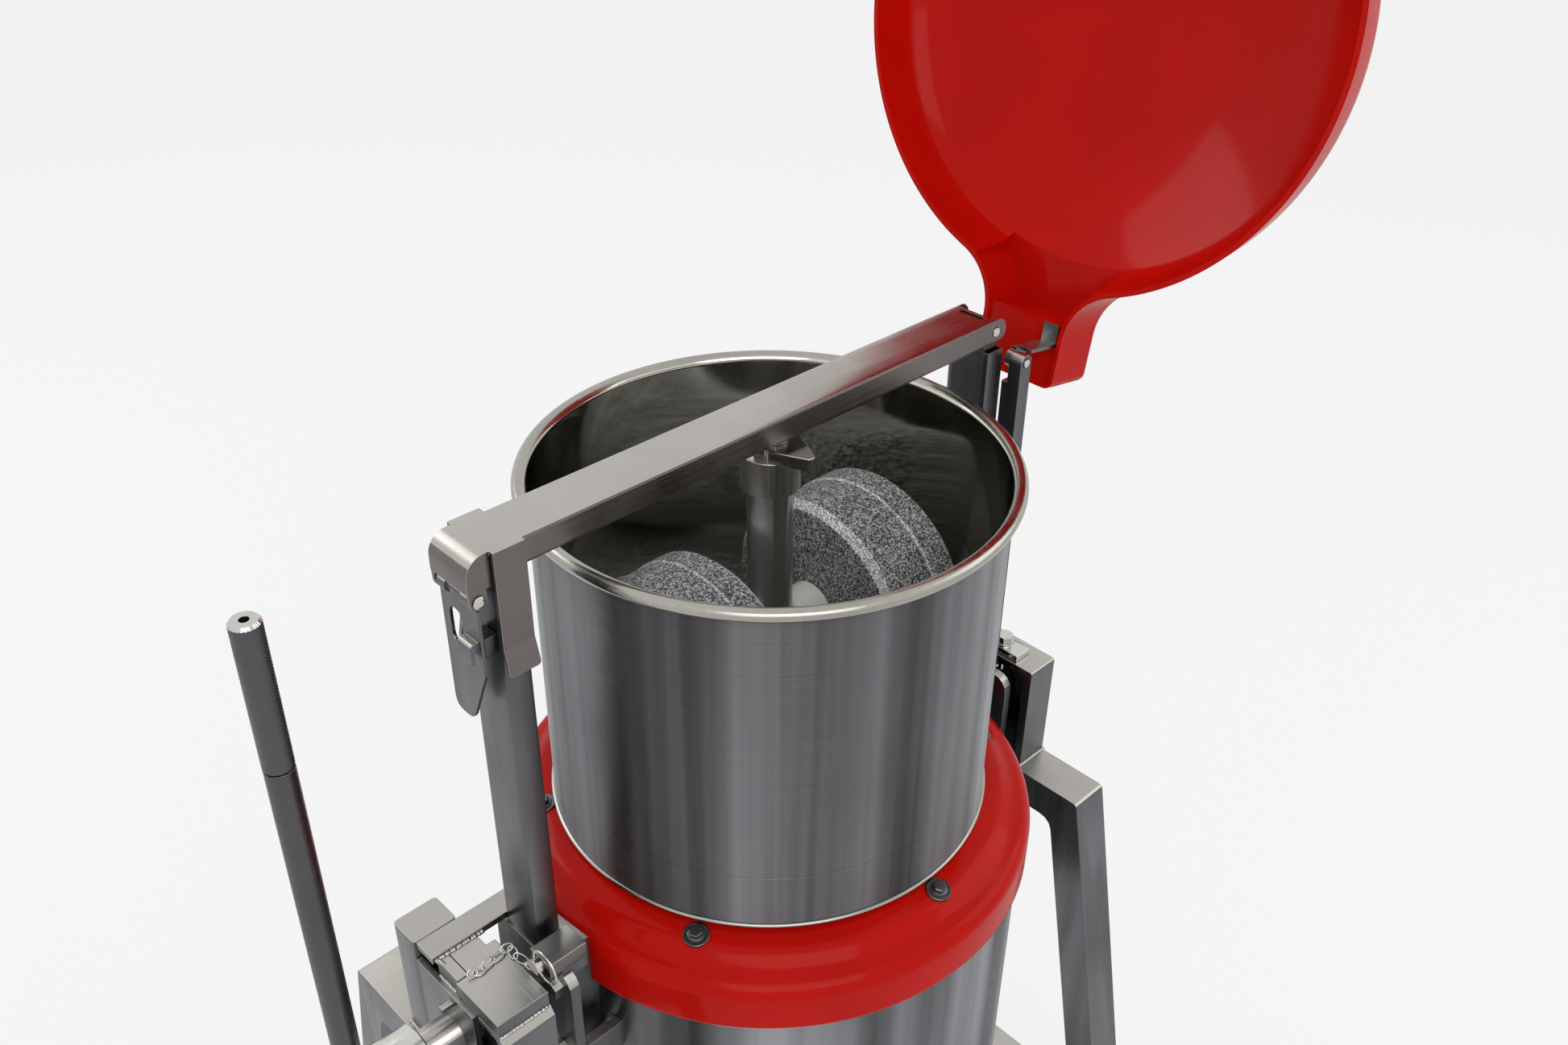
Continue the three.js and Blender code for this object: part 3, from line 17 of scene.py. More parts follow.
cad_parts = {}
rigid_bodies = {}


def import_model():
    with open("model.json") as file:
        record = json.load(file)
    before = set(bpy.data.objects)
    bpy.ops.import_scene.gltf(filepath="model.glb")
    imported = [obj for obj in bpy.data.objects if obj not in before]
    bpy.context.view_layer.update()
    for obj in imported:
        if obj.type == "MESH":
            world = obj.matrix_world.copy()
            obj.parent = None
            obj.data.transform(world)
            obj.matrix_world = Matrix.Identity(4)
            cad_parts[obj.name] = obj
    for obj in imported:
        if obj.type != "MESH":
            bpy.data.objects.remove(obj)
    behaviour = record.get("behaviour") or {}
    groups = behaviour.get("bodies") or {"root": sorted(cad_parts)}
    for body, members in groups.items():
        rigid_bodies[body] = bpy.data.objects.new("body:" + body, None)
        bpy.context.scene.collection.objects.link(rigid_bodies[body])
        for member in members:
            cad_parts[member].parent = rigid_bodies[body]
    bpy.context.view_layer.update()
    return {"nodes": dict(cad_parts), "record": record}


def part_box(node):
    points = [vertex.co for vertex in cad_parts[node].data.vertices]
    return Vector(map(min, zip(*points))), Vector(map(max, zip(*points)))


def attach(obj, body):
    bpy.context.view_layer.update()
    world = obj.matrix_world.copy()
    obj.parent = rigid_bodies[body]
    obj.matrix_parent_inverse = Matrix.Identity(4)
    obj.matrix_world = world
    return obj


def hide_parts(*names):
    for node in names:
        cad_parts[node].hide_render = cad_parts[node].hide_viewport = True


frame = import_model()

# %% [markdown]
# Sizes on this machine are easiest to read in millimetres from the centre of the drum's rim. One
# helper turns such a place into the frame's metres, so no piece depends on where the frame's own
# zero lies.

# %% Places in millimetres from the rim's centre
MM = 0.001
rim_low, rim_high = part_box("drum_shell")
RIM = Vector(((rim_low.x + rim_high.x) / 2, (rim_low.y + rim_high.y) / 2, rim_high.z))
X, Y, Z = Vector((1, 0, 0)), Vector((0, 1, 0)), Vector((0, 0, 1))


def at(x, y, z):
    return RIM + Vector((x, y, z)) * MM


print("rim centre", [round(v, 4) for v in RIM])

# %% [markdown]
# The camera stands where the photographer's did. Its place, its three angles and its focal length in
# pixels were solved from circles and uprights of the machine, so the render can be laid over the
# photograph.

# %% Camera
PHOTO_WIDTH = 1946
FOCAL_PIXELS = 1791.57
SENSOR = 36
CAMERA_PLACE = (-612.39, -639.40, 517.79)
YAW, PITCH, ROLL = (math.radians(a) for a in (-44.42, -32.75, 0.69))

look = Vector((-math.sin(YAW) * math.cos(PITCH), math.cos(YAW) * math.cos(PITCH), math.sin(PITCH)))
level = look.cross(Z).normalized()
upward = level.cross(look)
right = level * math.cos(ROLL) + upward * math.sin(ROLL)
up = upward * math.cos(ROLL) - level * math.sin(ROLL)

camera = bpy.data.objects.new("camera", bpy.data.cameras.new("camera"))
bpy.context.scene.collection.objects.link(camera)
turned_to = Matrix((right, up, -look)).transposed().to_4x4()
camera.matrix_world = Matrix.Translation(at(*CAMERA_PLACE)) @ turned_to
camera.data.sensor_width = SENSOR
camera.data.lens = FOCAL_PIXELS / PHOTO_WIDTH * SENSOR
camera.data.clip_start, camera.data.clip_end = 0.01, 100
bpy.context.scene.camera = camera
print("lens", round(camera.data.lens, 2), "mm")

# %% [markdown]
# ## Materials
# Materials are node trees. A short helper makes a node, sets its options and plugs in its inputs, so
# that each material below reads as a recipe.

# %% Helpers for materials
def new_material(name, roughness=0.5, metallic=0.0):
    material = bpy.data.materials.new(name)
    material.use_nodes = True
    tree = material.node_tree
    shader = tree.nodes["Principled BSDF"]
    shader.inputs["Roughness"].default_value = roughness
    shader.inputs["Metallic"].default_value = metallic
    return material, tree, shader


def add_node(tree, kind, inputs=None, **options):
    made = tree.nodes.new("ShaderNode" + kind)
    for option, value in options.items():
        setattr(made, option, value)
    for socket, value in (inputs or {}).items():
        if isinstance(value, bpy.types.NodeSocket):
            tree.links.new(value, made.inputs[socket])
        else:
            made.inputs[socket].default_value = value
    return made


def object_place(tree, scale=(1, 1, 1)):
    place = add_node(tree, "TexCoord").outputs["Object"]
    return add_node(tree, "Mapping", {"Vector": place, "Scale": scale}).outputs["Vector"]


def noise(tree, scale=(1, 1, 1), size=1.0, detail=4.0):
    place = object_place(tree, scale)
    return add_node(tree, "TexNoise", {"Vector": place, "Scale": size, "Detail": detail}).outputs["Fac"]


def blend(tree, share, first, second):
    return add_node(tree, "Mix", {"Factor": share, "A": first, "B": second}).outputs[0]


def spread(tree, value, low, high, start=0.35, end=0.65):
    made = add_node(tree, "MapRange", {
        "Value": value, "From Min": start, "From Max": end, "To Min": low, "To Max": high,
    })
    return made.outputs["Result"]


def ramp(tree, factor, stops):
    made = add_node(tree, "ValToRGB", {"Fac": factor})
    elements = made.color_ramp.elements
    while len(elements) < len(stops):
        elements.new(0.5)
    for element, (position, colour) in zip(elements, stops):
        element.position = position
        element.color = (*colour, 1)
    return made.outputs["Color"]


def toned(colour, share):
    return tuple(min(1, c * share) for c in colour)


def bump(tree, shader, height, strength, distance):
    made = add_node(tree, "Bump", {"Height": height, "Strength": strength, "Distance": distance})
    tree.links.new(made.outputs["Normal"], shader.inputs["Normal"])


print("material helpers ready")

# %% [markdown]
# Brushed stainless steel is a metal scratched along one grain. A noise stretched along the grain gives
# the scratches, and larger soft patches vary colour and gloss, as handling and cleaning do. Where the
# patches are stretched into tall strong bands, as on the drum and the shell, they are a painted reflection.
# Scratches blur a reflection across themselves. The shader does that with anisotropy, whose tangent is
# the direction square to both the surface's normal and the grain. Where a face looks straight along the
# grain that direction would be nought, so it gets a small nudge.

# %% Brushed steel
LONG, FINE, ROUND_FINE, EVEN = 6, 900, 1100, 250
GRAIN = {
    "x": (LONG, FINE, FINE), "y": (FINE, LONG, FINE), "z": (FINE, FINE, LONG),
    "round": (LONG, LONG, ROUND_FINE), "turned": (EVEN, EVEN, EVEN),
}
ALONG = {"x": X, "y": Y, "z": Z}
NUDGE = (0.013, 0.017, 0.011)
SMOOTHEST, ROUGHEST = 0.72, 1.3
STEEL = (0.43, 0.415, 0.385)


def brushed(
    name, grain, colour=STEEL, roughness=0.3, anisotropy=0.65, depth=0.00004, patch=(1, 1, 1), swing=0.1, fine=0.25,
):
    material, tree, shader = new_material(name, metallic=1)
    lines = noise(tree, GRAIN[grain], detail=6.0)
    patches_and_painted_bands = noise(tree, patch, size=7.0, detail=5.0)
    smudges = noise(tree, (1.0, 1.0, 0.4), size=26.0, detail=8.0)
    shade = blend(tree, fine, patches_and_painted_bands, lines)
    stops = [(0.36, toned(colour, 1 - swing)), (0.64, toned(colour, 1 + swing))]
    tree.links.new(ramp(tree, shade, stops), shader.inputs["Base Color"])
    gloss = spread(tree, blend(tree, 0.5, lines, smudges), roughness * SMOOTHEST, roughness * ROUGHEST)
    tree.links.new(gloss, shader.inputs["Roughness"])
    if grain in ALONG:
        normal = add_node(tree, "NewGeometry").outputs["Normal"]
        across = add_node(tree, "VectorMath", {0: normal, 1: ALONG[grain]}, operation="CROSS_PRODUCT")
        safe = add_node(tree, "VectorMath", {0: across.outputs["Vector"], 1: NUDGE}, operation="ADD")
        tree.links.new(safe.outputs["Vector"], shader.inputs["Tangent"])
        shader.inputs["Anisotropic"].default_value = anisotropy
    elif grain == "round":
        tree.links.new(add_node(tree, "CombineXYZ", {2: 1.0}).outputs[0], shader.inputs["Tangent"])
        shader.inputs["Anisotropic"].default_value = anisotropy
    bump(tree, shader, lines, 0.15, depth)
    return material


print("grains:", ", ".join(GRAIN))

# %% [markdown]
# Bars are brushed along their length, so there is one steel for each direction. Each bar steel has a
# darker, bluish copy for the sides. That copy is painted shade, standing in for the dark room that the sides
# reflect. The drum and the shell are dark, with wide soft bands from top to bottom, a painted reflection
# of that room. Turned parts have an even fine grain.

# %% The steels
steel_x = brushed("steel_grain_x", "x")
steel_y = brushed("steel_grain_y", "y")
steel_z = brushed("steel_grain_z", "z")
# The side steels are darker, bluish copies of the bar steels: painted shade for a dark room reflected in the sides.
side_x_painted_shade = brushed("steel_side_painted_shade_x", "x", (0.165, 0.146, 0.141), roughness=0.34, swing=0.14)
side_y_painted_shade = brushed("steel_side_painted_shade_y", "y", (0.15, 0.153, 0.16), roughness=0.34, swing=0.16)
side_z_painted_shade = brushed(
    "steel_side_painted_shade_z", "z", (0.135, 0.139, 0.147), roughness=0.34, patch=(6, 6, 0.6), swing=0.22, fine=0.12,
)
# The drum's dark tone and its tall soft bands are a painted reflection of a dark room.
steel_drum_painted_bands = brushed(
    "steel_drum_outside_painted_bands", "round", (0.172, 0.176, 0.185), roughness=0.5, anisotropy=0.95, depth=0.00001,
    patch=(2.4, 2.4, 0.03), swing=0.7, fine=0.05,
)
steel_rim = brushed("steel_rim", "turned", (0.37, 0.36, 0.325), roughness=0.22, depth=0.00001)
steel_bright = brushed("steel_bright", "turned", (0.55, 0.54, 0.51), roughness=0.17, depth=0.00001)
steel_mirror = brushed("steel_mirror", "turned", (0.58, 0.565, 0.5), roughness=0.1, depth=0.000004)
steel_weld = brushed("steel_weld", "turned", (0.42, 0.4, 0.37), roughness=0.24, depth=0.0004)
steel_dark = brushed("steel_dark", "turned", (0.1, 0.1, 0.104), roughness=0.3, depth=0.00006)
steel_knurl = brushed("steel_knurl", "turned", (0.105, 0.105, 0.11), roughness=0.36, depth=0.00003)
steel_column = brushed("steel_column", "z", (0.62, 0.61, 0.59), roughness=0.36, depth=0.00002)
print("steels made")

# %% [markdown]
# The lid and the base cover are laid up in glossy red resin: a hard, even red under a clear skin. The
# skin has the faint ripple of a moulded sheet, fine dust and hairline scratches.

# %% Red moulding
RED = (0.6, 0.006, 0.002)


def moulded_red(name):
    material, tree, shader = new_material(name)
    ripple = noise(tree, size=11.0, detail=2.0)
    dust = noise(tree, size=900.0, detail=2.0)
    rubbed = noise(tree, (60, 900, 300), detail=3.0)
    shade = ramp(tree, blend(tree, 0.3, ripple, dust), [(0.3, toned(RED, 0.88)), (0.7, toned(RED, 1.08))])
    tree.links.new(shade, shader.inputs["Base Color"])
    tree.links.new(spread(tree, rubbed, 0.26, 0.3), shader.inputs["Roughness"])
    shader.inputs["Specular IOR Level"].default_value = 0.03
    shader.inputs["Coat Weight"].default_value = 0.13
    shader.inputs["Coat Roughness"].default_value = 0.09
    bump(tree, shader, ripple, 0.1, 0.002)
    return material


red = moulded_red("red_moulding")
print("red made")

# %% [markdown]
# Granite is a mix of grains: dark mica, grey quartz and pale feldspar. Cells about a millimetre wide
# choose between them, a finer noise breaks them up, and the ground surface is matt. Where an edge is
# freshly cut, as at the steps and chamfers, the grains are bruised and paler.

# %% Granite
def granite_stone(name, dark, middle, light):
    material, tree, shader = new_material(name, roughness=0.72)
    cells = add_node(tree, "TexVoronoi", {"Vector": object_place(tree), "Scale": 1000.0, "Randomness": 1.0})
    speck = add_node(tree, "SeparateColor", {"Color": cells.outputs["Color"]}).outputs[0]
    fine = noise(tree, size=1500.0, detail=3.0)
    cloud = noise(tree, size=45.0, detail=3.0)
    grain = blend(tree, 0.45, speck, blend(tree, 0.25, fine, cloud))
    stops = [(0.33, dark), (0.43, toned(middle, 0.6)), (0.52, middle), (0.6, toned(middle, 1.7)), (0.68, light)]
    tree.links.new(ramp(tree, grain, stops), shader.inputs["Base Color"])
    tree.links.new(spread(tree, speck, 0.5, 0.85, 0.0, 1.0), shader.inputs["Roughness"])
    bump(tree, shader, grain, 0.45, 0.0005)
    return material


granite = granite_stone("granite", (0.02, 0.021, 0.023), (0.19, 0.2, 0.212), (0.62, 0.63, 0.64))
granite_cut = granite_stone("granite_cut", (0.3, 0.3, 0.31), (0.55, 0.56, 0.57), (0.85, 0.86, 0.87))
print("granite made")

# %% [markdown]
# The small parts have quiet finishes: white nylon bushes, black painted iron, a painted motor and
# rubber feet. One recipe does for all of them. A fine mottle and a wider cloud vary the colour, the
# cloud varies the gloss, and the mottle gives the surface its grain.

# %% Nylon, black iron, motor paint and rubber
def plain_finish(name, colour, roughness, size=60.0, share=0.14, height=0.0003):
    material, tree, shader = new_material(name)
    mottle = noise(tree, size=size, detail=6.0)
    wide = noise(tree, size=size / 9, detail=3.0)
    shade = blend(tree, 0.5, mottle, wide)
    stops = [(0.34, toned(colour, 1 - share)), (0.66, toned(colour, 1 + share))]
    tree.links.new(ramp(tree, shade, stops), shader.inputs["Base Color"])
    tree.links.new(spread(tree, wide, roughness * 0.8, roughness * 1.2), shader.inputs["Roughness"])
    bump(tree, shader, mottle, 0.3, height)
    return material


nylon = plain_finish("nylon", (0.82, 0.81, 0.77), 0.38, share=0.05)
cast_iron = plain_finish("cast_iron", (0.022, 0.022, 0.024), 0.5, size=400, share=0.35, height=0.0006)
motor_paint = plain_finish("motor_paint", (0.07, 0.12, 0.17), 0.45, size=500, height=0.0002)
rubber = plain_finish("rubber", (0.02, 0.02, 0.021), 0.7, size=700, share=0.3, height=0.0002)
print("finishes so far:", len(bpy.data.materials))

# %% [markdown]
# ## From solids to pieces
# A solid from the frame is made of loose triangles. Its copy is merged, its flat faces are joined
# again, and a bevel rounds its edges, because a real edge always catches a line of light. Every piece
# then goes through one helper, which puts it on its body and hides the solids it replaces.

# %% From a mesh to a piece
SHARP = math.radians(30)


def as_piece(name, bm, body, materials, replaces=(), edge=0.0, segments=2, sharp=SHARP):
    mesh = bpy.data.meshes.new(name)
    bmesh.ops.recalc_face_normals(bm, faces=bm.faces)
    bm.to_mesh(mesh)
    bm.free()
    for material in materials if isinstance(materials, tuple) else (materials,):
        mesh.materials.append(material)
    mesh.shade_smooth()
    mesh.set_sharp_from_angle(angle=sharp)
    piece = bpy.data.objects.new(name, mesh)
    bpy.context.scene.collection.objects.link(piece)
    if edge:
        bevel = piece.modifiers.new("edges", "BEVEL")
        bevel.width = edge * MM
        bevel.segments = segments
        bevel.limit_method = "ANGLE"
        bevel.angle_limit = SHARP
        bevel.harden_normals = True
    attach(piece, body)
    if replaces:
        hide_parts(*replaces)
    return piece


BODY_OF = {n: b for b, nodes in frame["record"]["behaviour"]["bodies"].items() for n in nodes}

# %% [markdown]
# Each face of a bar takes its steel from the way it faces. One that faces mostly up or down gets the
# plain steel, and a side gets the darker copy, which is painted shade. The rounded edges of the long
# beams get the plain steel too.

# %% Copies of frame nodes with rounded edges
SAME_PLACE, SAME_PLANE = 0.005, math.radians(0.5)
PAINTED_SHADE_SIDE = {steel_x: side_x_painted_shade, steel_y: side_y_painted_shade, steel_z: side_z_painted_shade}
PLAIN_FACE, PAINTED_SHADE_FACE, FACES_UP = 0, 1, 0.5
ROUND_EDGE = 0.6


def node_shape(node):
    bm = bmesh.new()
    bm.from_mesh(frame["nodes"][node].data)
    bmesh.ops.remove_doubles(bm, verts=bm.verts, dist=SAME_PLACE * MM)
    bmesh.ops.dissolve_limit(
        bm, angle_limit=SAME_PLANE, use_dissolve_boundaries=False, verts=bm.verts, edges=bm.edges,
    )
    return bm


def dressed(node, material, edge=ROUND_EDGE, segments=2):
    bm = node_shape(node)
    materials = (material,)
    if material in PAINTED_SHADE_SIDE:
        materials = (material, PAINTED_SHADE_SIDE[material])
        for face in bm.faces:
            face.normal_update()
            # A face that looks sideways takes the darker copy, which is painted shade.
            face.material_index = PAINTED_SHADE_FACE if abs(face.normal.z) < FACES_UP else PLAIN_FACE
    piece = as_piece(node + "_piece", bm, BODY_OF[node], materials, (node,), edge, segments)
    if material is steel_x:
        piece.modifiers["edges"].material = PLAIN_FACE


print("finishes with a satin side:", len(PAINTED_SHADE_SIDE))

# %% [markdown]
# Most of the machine is cut bar, tube and sheet. One table gives each node its finish, by the way its
# steel is brushed, and a second gives the few edges that are rounder or sharper than the rest.

# %% Sheet, bar and tube
FINISH = {
    steel_x: "arm_beam tongue_bar stop_bar front_cross_rail rear_cross_rail",
    steel_y: "lock_block right_low_rail left_low_rail lid_strap chain_bar block_stand",
    steel_z: "left_pillar right_pillar lid_post right_bracket rear_post hooked_plate right_side_frame "
             "left_side_frame latch_tongue left_trunnion right_trunnion bottom_cover bearing_plate",
    steel_bright: "strap_bolt drum_spindle wing_lever",
    steel_dark: "latch_catch",
    cast_iron: "right_bearing left_bearing bearing_housing drum_pulley motor_pulley",
    motor_paint: "motor",
    rubber: "drive_belt right_front_foot right_rear_foot left_front_foot left_rear_foot",
}
EDGE = {
    "arm_beam": 0.9, "motor": 0.4, "latch_tongue": 0.5, "lock_block": 1.1, "latch_catch": 1.2, "wing_lever": 1.2,
    "left_pillar": 0.5, "right_pillar": 0.5,
}
for material, nodes in FINISH.items():
    for node in nodes.split():
        dressed(node, material, EDGE.get(node, ROUND_EDGE))
print("pieces from nodes:", sum(len(v.split()) for v in FINISH.values()))

# %% [markdown]
# When the body tilts, the lid post sweeps past the right side frame with its side in the frame's own
# plane. Two real parts would rub there, so this side of the post is set back by a hair.

# %% Air beside the lid post
POST_SIDE, AIR = 249.9, 0.3
post = bpy.data.objects["lid_post_piece"]
outer_side = [v for v in post.data.vertices if v.co.x > at(POST_SIDE, 0, 0).x]
for vert in outer_side:
    vert.co.x -= AIR * MM
print("points set back:", len(outer_side))

# %% [markdown]
# ## Turned forms
# The drum, the rollers, the cover and the shell are bodies of revolution. Each is one closed profile
# spun round its axis in many steps, so that its outline stays round in a close view.

# %% A spinning helper
WIDE, MIDDLING, SMALL = 240, 144, 72


def turn_to(axis):
    return Z.rotation_difference(axis).to_matrix()


def spun(profile, steps, axis=Z, centre=(0, 0, 0), bm=None):
    """Spins (radius, height) points in millimetres. A profile that leaves the axis is closed on itself."""
    bm = bm or bmesh.new()
    verts = [bm.verts.new((r * MM, 0, h * MM)) for r, h in profile]
    edges = [bm.edges.new(pair) for pair in zip(verts, verts[1:])]
    if profile[0][0] > 0:
        edges.append(bm.edges.new((verts[-1], verts[0])))
    before = set(bm.verts) - set(verts)
    bmesh.ops.spin(
        bm, geom=verts + edges, cent=(0, 0, 0), axis=(0, 0, 1), angle=2 * math.pi, steps=steps, use_merge=True,
    )
    fresh = [v for v in bm.verts if v not in before]
    bmesh.ops.rotate(bm, verts=fresh, matrix=turn_to(Vector(axis)))
    bmesh.ops.translate(bm, verts=fresh, vec=at(*centre))
    bmesh.ops.remove_doubles(bm, verts=fresh, dist=0.002 * MM)
    return bm


def arc(centre_r, centre_h, radius, start, end, steps):
    angles = [math.radians(start + (end - start) * i / steps) for i in range(steps + 1)]
    return [(centre_r + radius * math.cos(a), centre_h + radius * math.sin(a)) for a in angles]


print("steps in a turn:", WIDE, MIDDLING, SMALL)

# %% [markdown]
# The drum is brushed round on the outside and polished like a mirror on the inside. Its rim is rolled
# outwards into a bead, a fine seam runs round above the base, and a base ring stands out below. A few
# extra rings lie beside the seam and the bead, so that smooth shading stays close to them.

# %% Drum
DRUM_RADIUS, WALL, BEAD, RIM_RADIUS = 173, 2, 4.75, 182.5
SEAM, SEAM_DEEP, SEAM_HALF, SEAM_MARGIN = -236, 0.5, 0.6, 1.6
BASE_TOP, BASE_RADIUS, BASE_THICK, BASE_EDGE, BORE = -281, 175.4, 3.5, 1, 24.3
BEAD_MARGIN = 5
inside = DRUM_RADIUS - WALL
bead_r = RIM_RADIUS - BEAD
throat = bead_r - inside
base_low = BASE_TOP - BASE_THICK
drum_profile = [
    (BORE, base_low), (BASE_RADIUS - BASE_EDGE, base_low), (BASE_RADIUS, base_low + BASE_EDGE),
    (BASE_RADIUS, BASE_TOP - BASE_EDGE), (BASE_RADIUS - BASE_EDGE, BASE_TOP), (DRUM_RADIUS, BASE_TOP),
    (DRUM_RADIUS, SEAM - SEAM_MARGIN), (DRUM_RADIUS, SEAM - SEAM_HALF), (DRUM_RADIUS - SEAM_DEEP, SEAM),
    (DRUM_RADIUS, SEAM + SEAM_HALF), (DRUM_RADIUS, SEAM + SEAM_MARGIN), (DRUM_RADIUS, -BEAD - BEAD_MARGIN),
    *arc(bead_r, -BEAD, BEAD, 225, 450, 24), *arc(bead_r, -throat, throat, 110, 180, 8),
    (inside, BASE_TOP), (BORE, BASE_TOP),
]
MIRRORED, ROLLED = 1, 2
bm = spun(drum_profile, WIDE)
for face in bm.faces:
    middle = face.calc_center_median()
    radius = math.hypot(middle.x - RIM.x, middle.y - RIM.y) / MM
    drop = (middle.z - RIM.z) / MM
    if radius < inside + 1 and drop > BASE_TOP - 1:
        face.material_index = MIRRORED
    elif drop > -2 * BEAD - 1 or drop < BASE_TOP + 0.5:
        face.material_index = ROLLED
as_piece(
    "drum_wall", bm, "drum", (steel_drum_painted_bands, steel_mirror, steel_rim), ("drum_shell",),
    sharp=math.radians(50),
)
print("drum profile points:", len(drum_profile))

# %% [markdown]
# A granite stone lies on the drum's floor, and the rollers run on it. It clears the wall by a hair and
# has a small chamfer at both edges.

# %% Floor stone
STONE_TOP, STONE_AIR, STONE_EDGE = -238.3, 0.3, 1.5
stone_r = inside - STONE_AIR
stone_profile = [
    (BORE, BASE_TOP + STONE_AIR), (stone_r, BASE_TOP + STONE_AIR), (stone_r, STONE_TOP - STONE_EDGE),
    (stone_r - STONE_EDGE, STONE_TOP), (BORE + STONE_EDGE, STONE_TOP), (BORE, STONE_TOP - STONE_EDGE),
]
as_piece("grinding_floor", spun(stone_profile, MIDDLING), "drum", granite, ("floor_stone",))
print("floor stone made")

# %% [markdown]
# Each roller is a granite wheel with a shallow step turned into its rim on both sides of a middle band,
# and a chamfer towards the column. Both are one outline, mirrored by its sign. The faces at the steps
# and the inner chamfer take the paler cut granite.

# %% Rollers
ROLLER_Z, ROLLER_RADIUS, INNER_X, OUTER_X, STEP, CHAMFER = -150, 88, 47.3, 126, 1.4, 5.5
ROLLER_STEPS, CHAMFER_EASE, CHAMFER_MARGIN = 160, 0.4, 1
BANDS = (INNER_X + 24, INNER_X + 50)
BUSH_BORE = 12.3
CUT = 1
for side, name in ((-1, "roller_left"), (1, "roller_right")):
    outline = [
        (BUSH_BORE, INNER_X), (ROLLER_RADIUS - CHAMFER - CHAMFER_MARGIN, INNER_X),
        (ROLLER_RADIUS - CHAMFER, INNER_X + CHAMFER_EASE), (ROLLER_RADIUS - CHAMFER_EASE, INNER_X + CHAMFER),
        (ROLLER_RADIUS, INNER_X + CHAMFER + CHAMFER_MARGIN), (ROLLER_RADIUS, BANDS[0]),
        (ROLLER_RADIUS - STEP, BANDS[0] + STEP), (ROLLER_RADIUS - STEP, BANDS[1]), (ROLLER_RADIUS, BANDS[1] + STEP),
        (ROLLER_RADIUS, OUTER_X - CHAMFER), (ROLLER_RADIUS - CHAMFER, OUTER_X), (BUSH_BORE, OUTER_X),
    ]
    bm = spun([(r, side * x) for r, x in outline], ROLLER_STEPS, X, (0, 0, ROLLER_Z))
    for face in bm.faces:
        reach = abs(face.calc_center_median().x - RIM.x) / MM
        at_step = any(b < reach < b + STEP for b in BANDS)
        if at_step or INNER_X + 0.3 < reach < INNER_X + CHAMFER + 0.5:
            face.material_index = CUT
    as_piece(name + "_stone", bm, name, (granite, granite_cut), (name,), sharp=math.radians(20))
    print(name, "spans", INNER_X, "to", OUTER_X, "mm")

# %% [markdown]
# The roller column has a collar with a flat milled on it, and carries the axle that the rollers turn on.
# White nylon bushes stand proud of the stones.

# %% Column, axle and bushes
dressed("roller_column", steel_column, 0.8)
dressed("roller_axle", steel_bright, 0.8)
BUSH_NEAR, BUSH_FAR, BUSH_R, BUSH_EDGE = 17.6, 47, 22, 2
for side, name in ((-1, "axle_bush_left"), (1, "axle_bush_right")):
    outline = [
        (BUSH_BORE, BUSH_NEAR), (BUSH_R - BUSH_EDGE, BUSH_NEAR), (BUSH_R, BUSH_NEAR + BUSH_EDGE),
        (BUSH_R, BUSH_FAR - BUSH_EDGE), (BUSH_R - BUSH_EDGE, BUSH_FAR), (BUSH_BORE, BUSH_FAR),
    ]
    bm = spun([(r, side * x) for r, x in outline], SMALL, X, (0, 0, ROLLER_Z))
    as_piece(name + "_turned", bm, "tilt_unit", nylon, (name,))
print("column, axle and bushes made")

# %% [markdown]
# The red base cover slopes gently outwards from under the drum, folds over a crease into a round
# shoulder and falls as a skirt over the steel shell. The profile runs up its inside and back down its
# outside, and the skirt's lower edge is broken by a small hem.

# %% Base cover
SKIRT_R, SHOULDER, SKIRT_END, COVER_SKIN = 214.5, 14, -344, 2.5
EDGE_BREAK = 0.6
shoulder_r, shoulder_z = SKIRT_R - SHOULDER, -316
cover_profile = [
    (160, -286), (160, -288.5), (181, -292.6), (196, -303.6),
    *arc(shoulder_r, shoulder_z, SHOULDER - COVER_SKIN, 65, 0, 10),
    (SKIRT_R - COVER_SKIN, SKIRT_END), (SKIRT_R - EDGE_BREAK, SKIRT_END),
    (SKIRT_R, SKIRT_END + EDGE_BREAK), (SKIRT_R, SKIRT_END + 2.5),
    *arc(shoulder_r, shoulder_z, SHOULDER, 0, 72, 16),
    (200.6, -301.2), (197.6, -299.4), (192, -294.6), (189, -292.4), (185.5, -290.9), (178, -289.3),
]
as_piece(
    "cover_moulding", spun(cover_profile, WIDE), "tilt_unit", red, ("base_cover",),
    sharp=math.radians(60),
)
print("cover profile points:", len(cover_profile))

# %% [markdown]
# The shell is a steel can with a closed top, open at its foot, and it holds the motor. A thin bright
# hem goes round it just under the cover's skirt.

# %% Shell and hem
SHELL_R, SHELL_TOP, SHELL_END, SHELL_BORE, SHELL_WALL, SHELL_MARGIN = 208.7, -316, -560, 40.3, 2.5, 3
shell_inside = SHELL_R - SHELL_WALL
shell_profile = [
    (SHELL_BORE, SHELL_TOP - SHELL_MARGIN), (shell_inside, SHELL_TOP - SHELL_MARGIN),
    (shell_inside, SHELL_END + 1), (SHELL_R - 2, SHELL_END), (SHELL_R - EDGE_BREAK, SHELL_END),
    (SHELL_R, SHELL_END + EDGE_BREAK), (SHELL_R, SHELL_END + SHELL_MARGIN), (SHELL_R, SHELL_TOP - SHELL_MARGIN),
    (SHELL_R, SHELL_TOP - 1), (SHELL_R - 1, SHELL_TOP), (SHELL_BORE, SHELL_TOP),
]
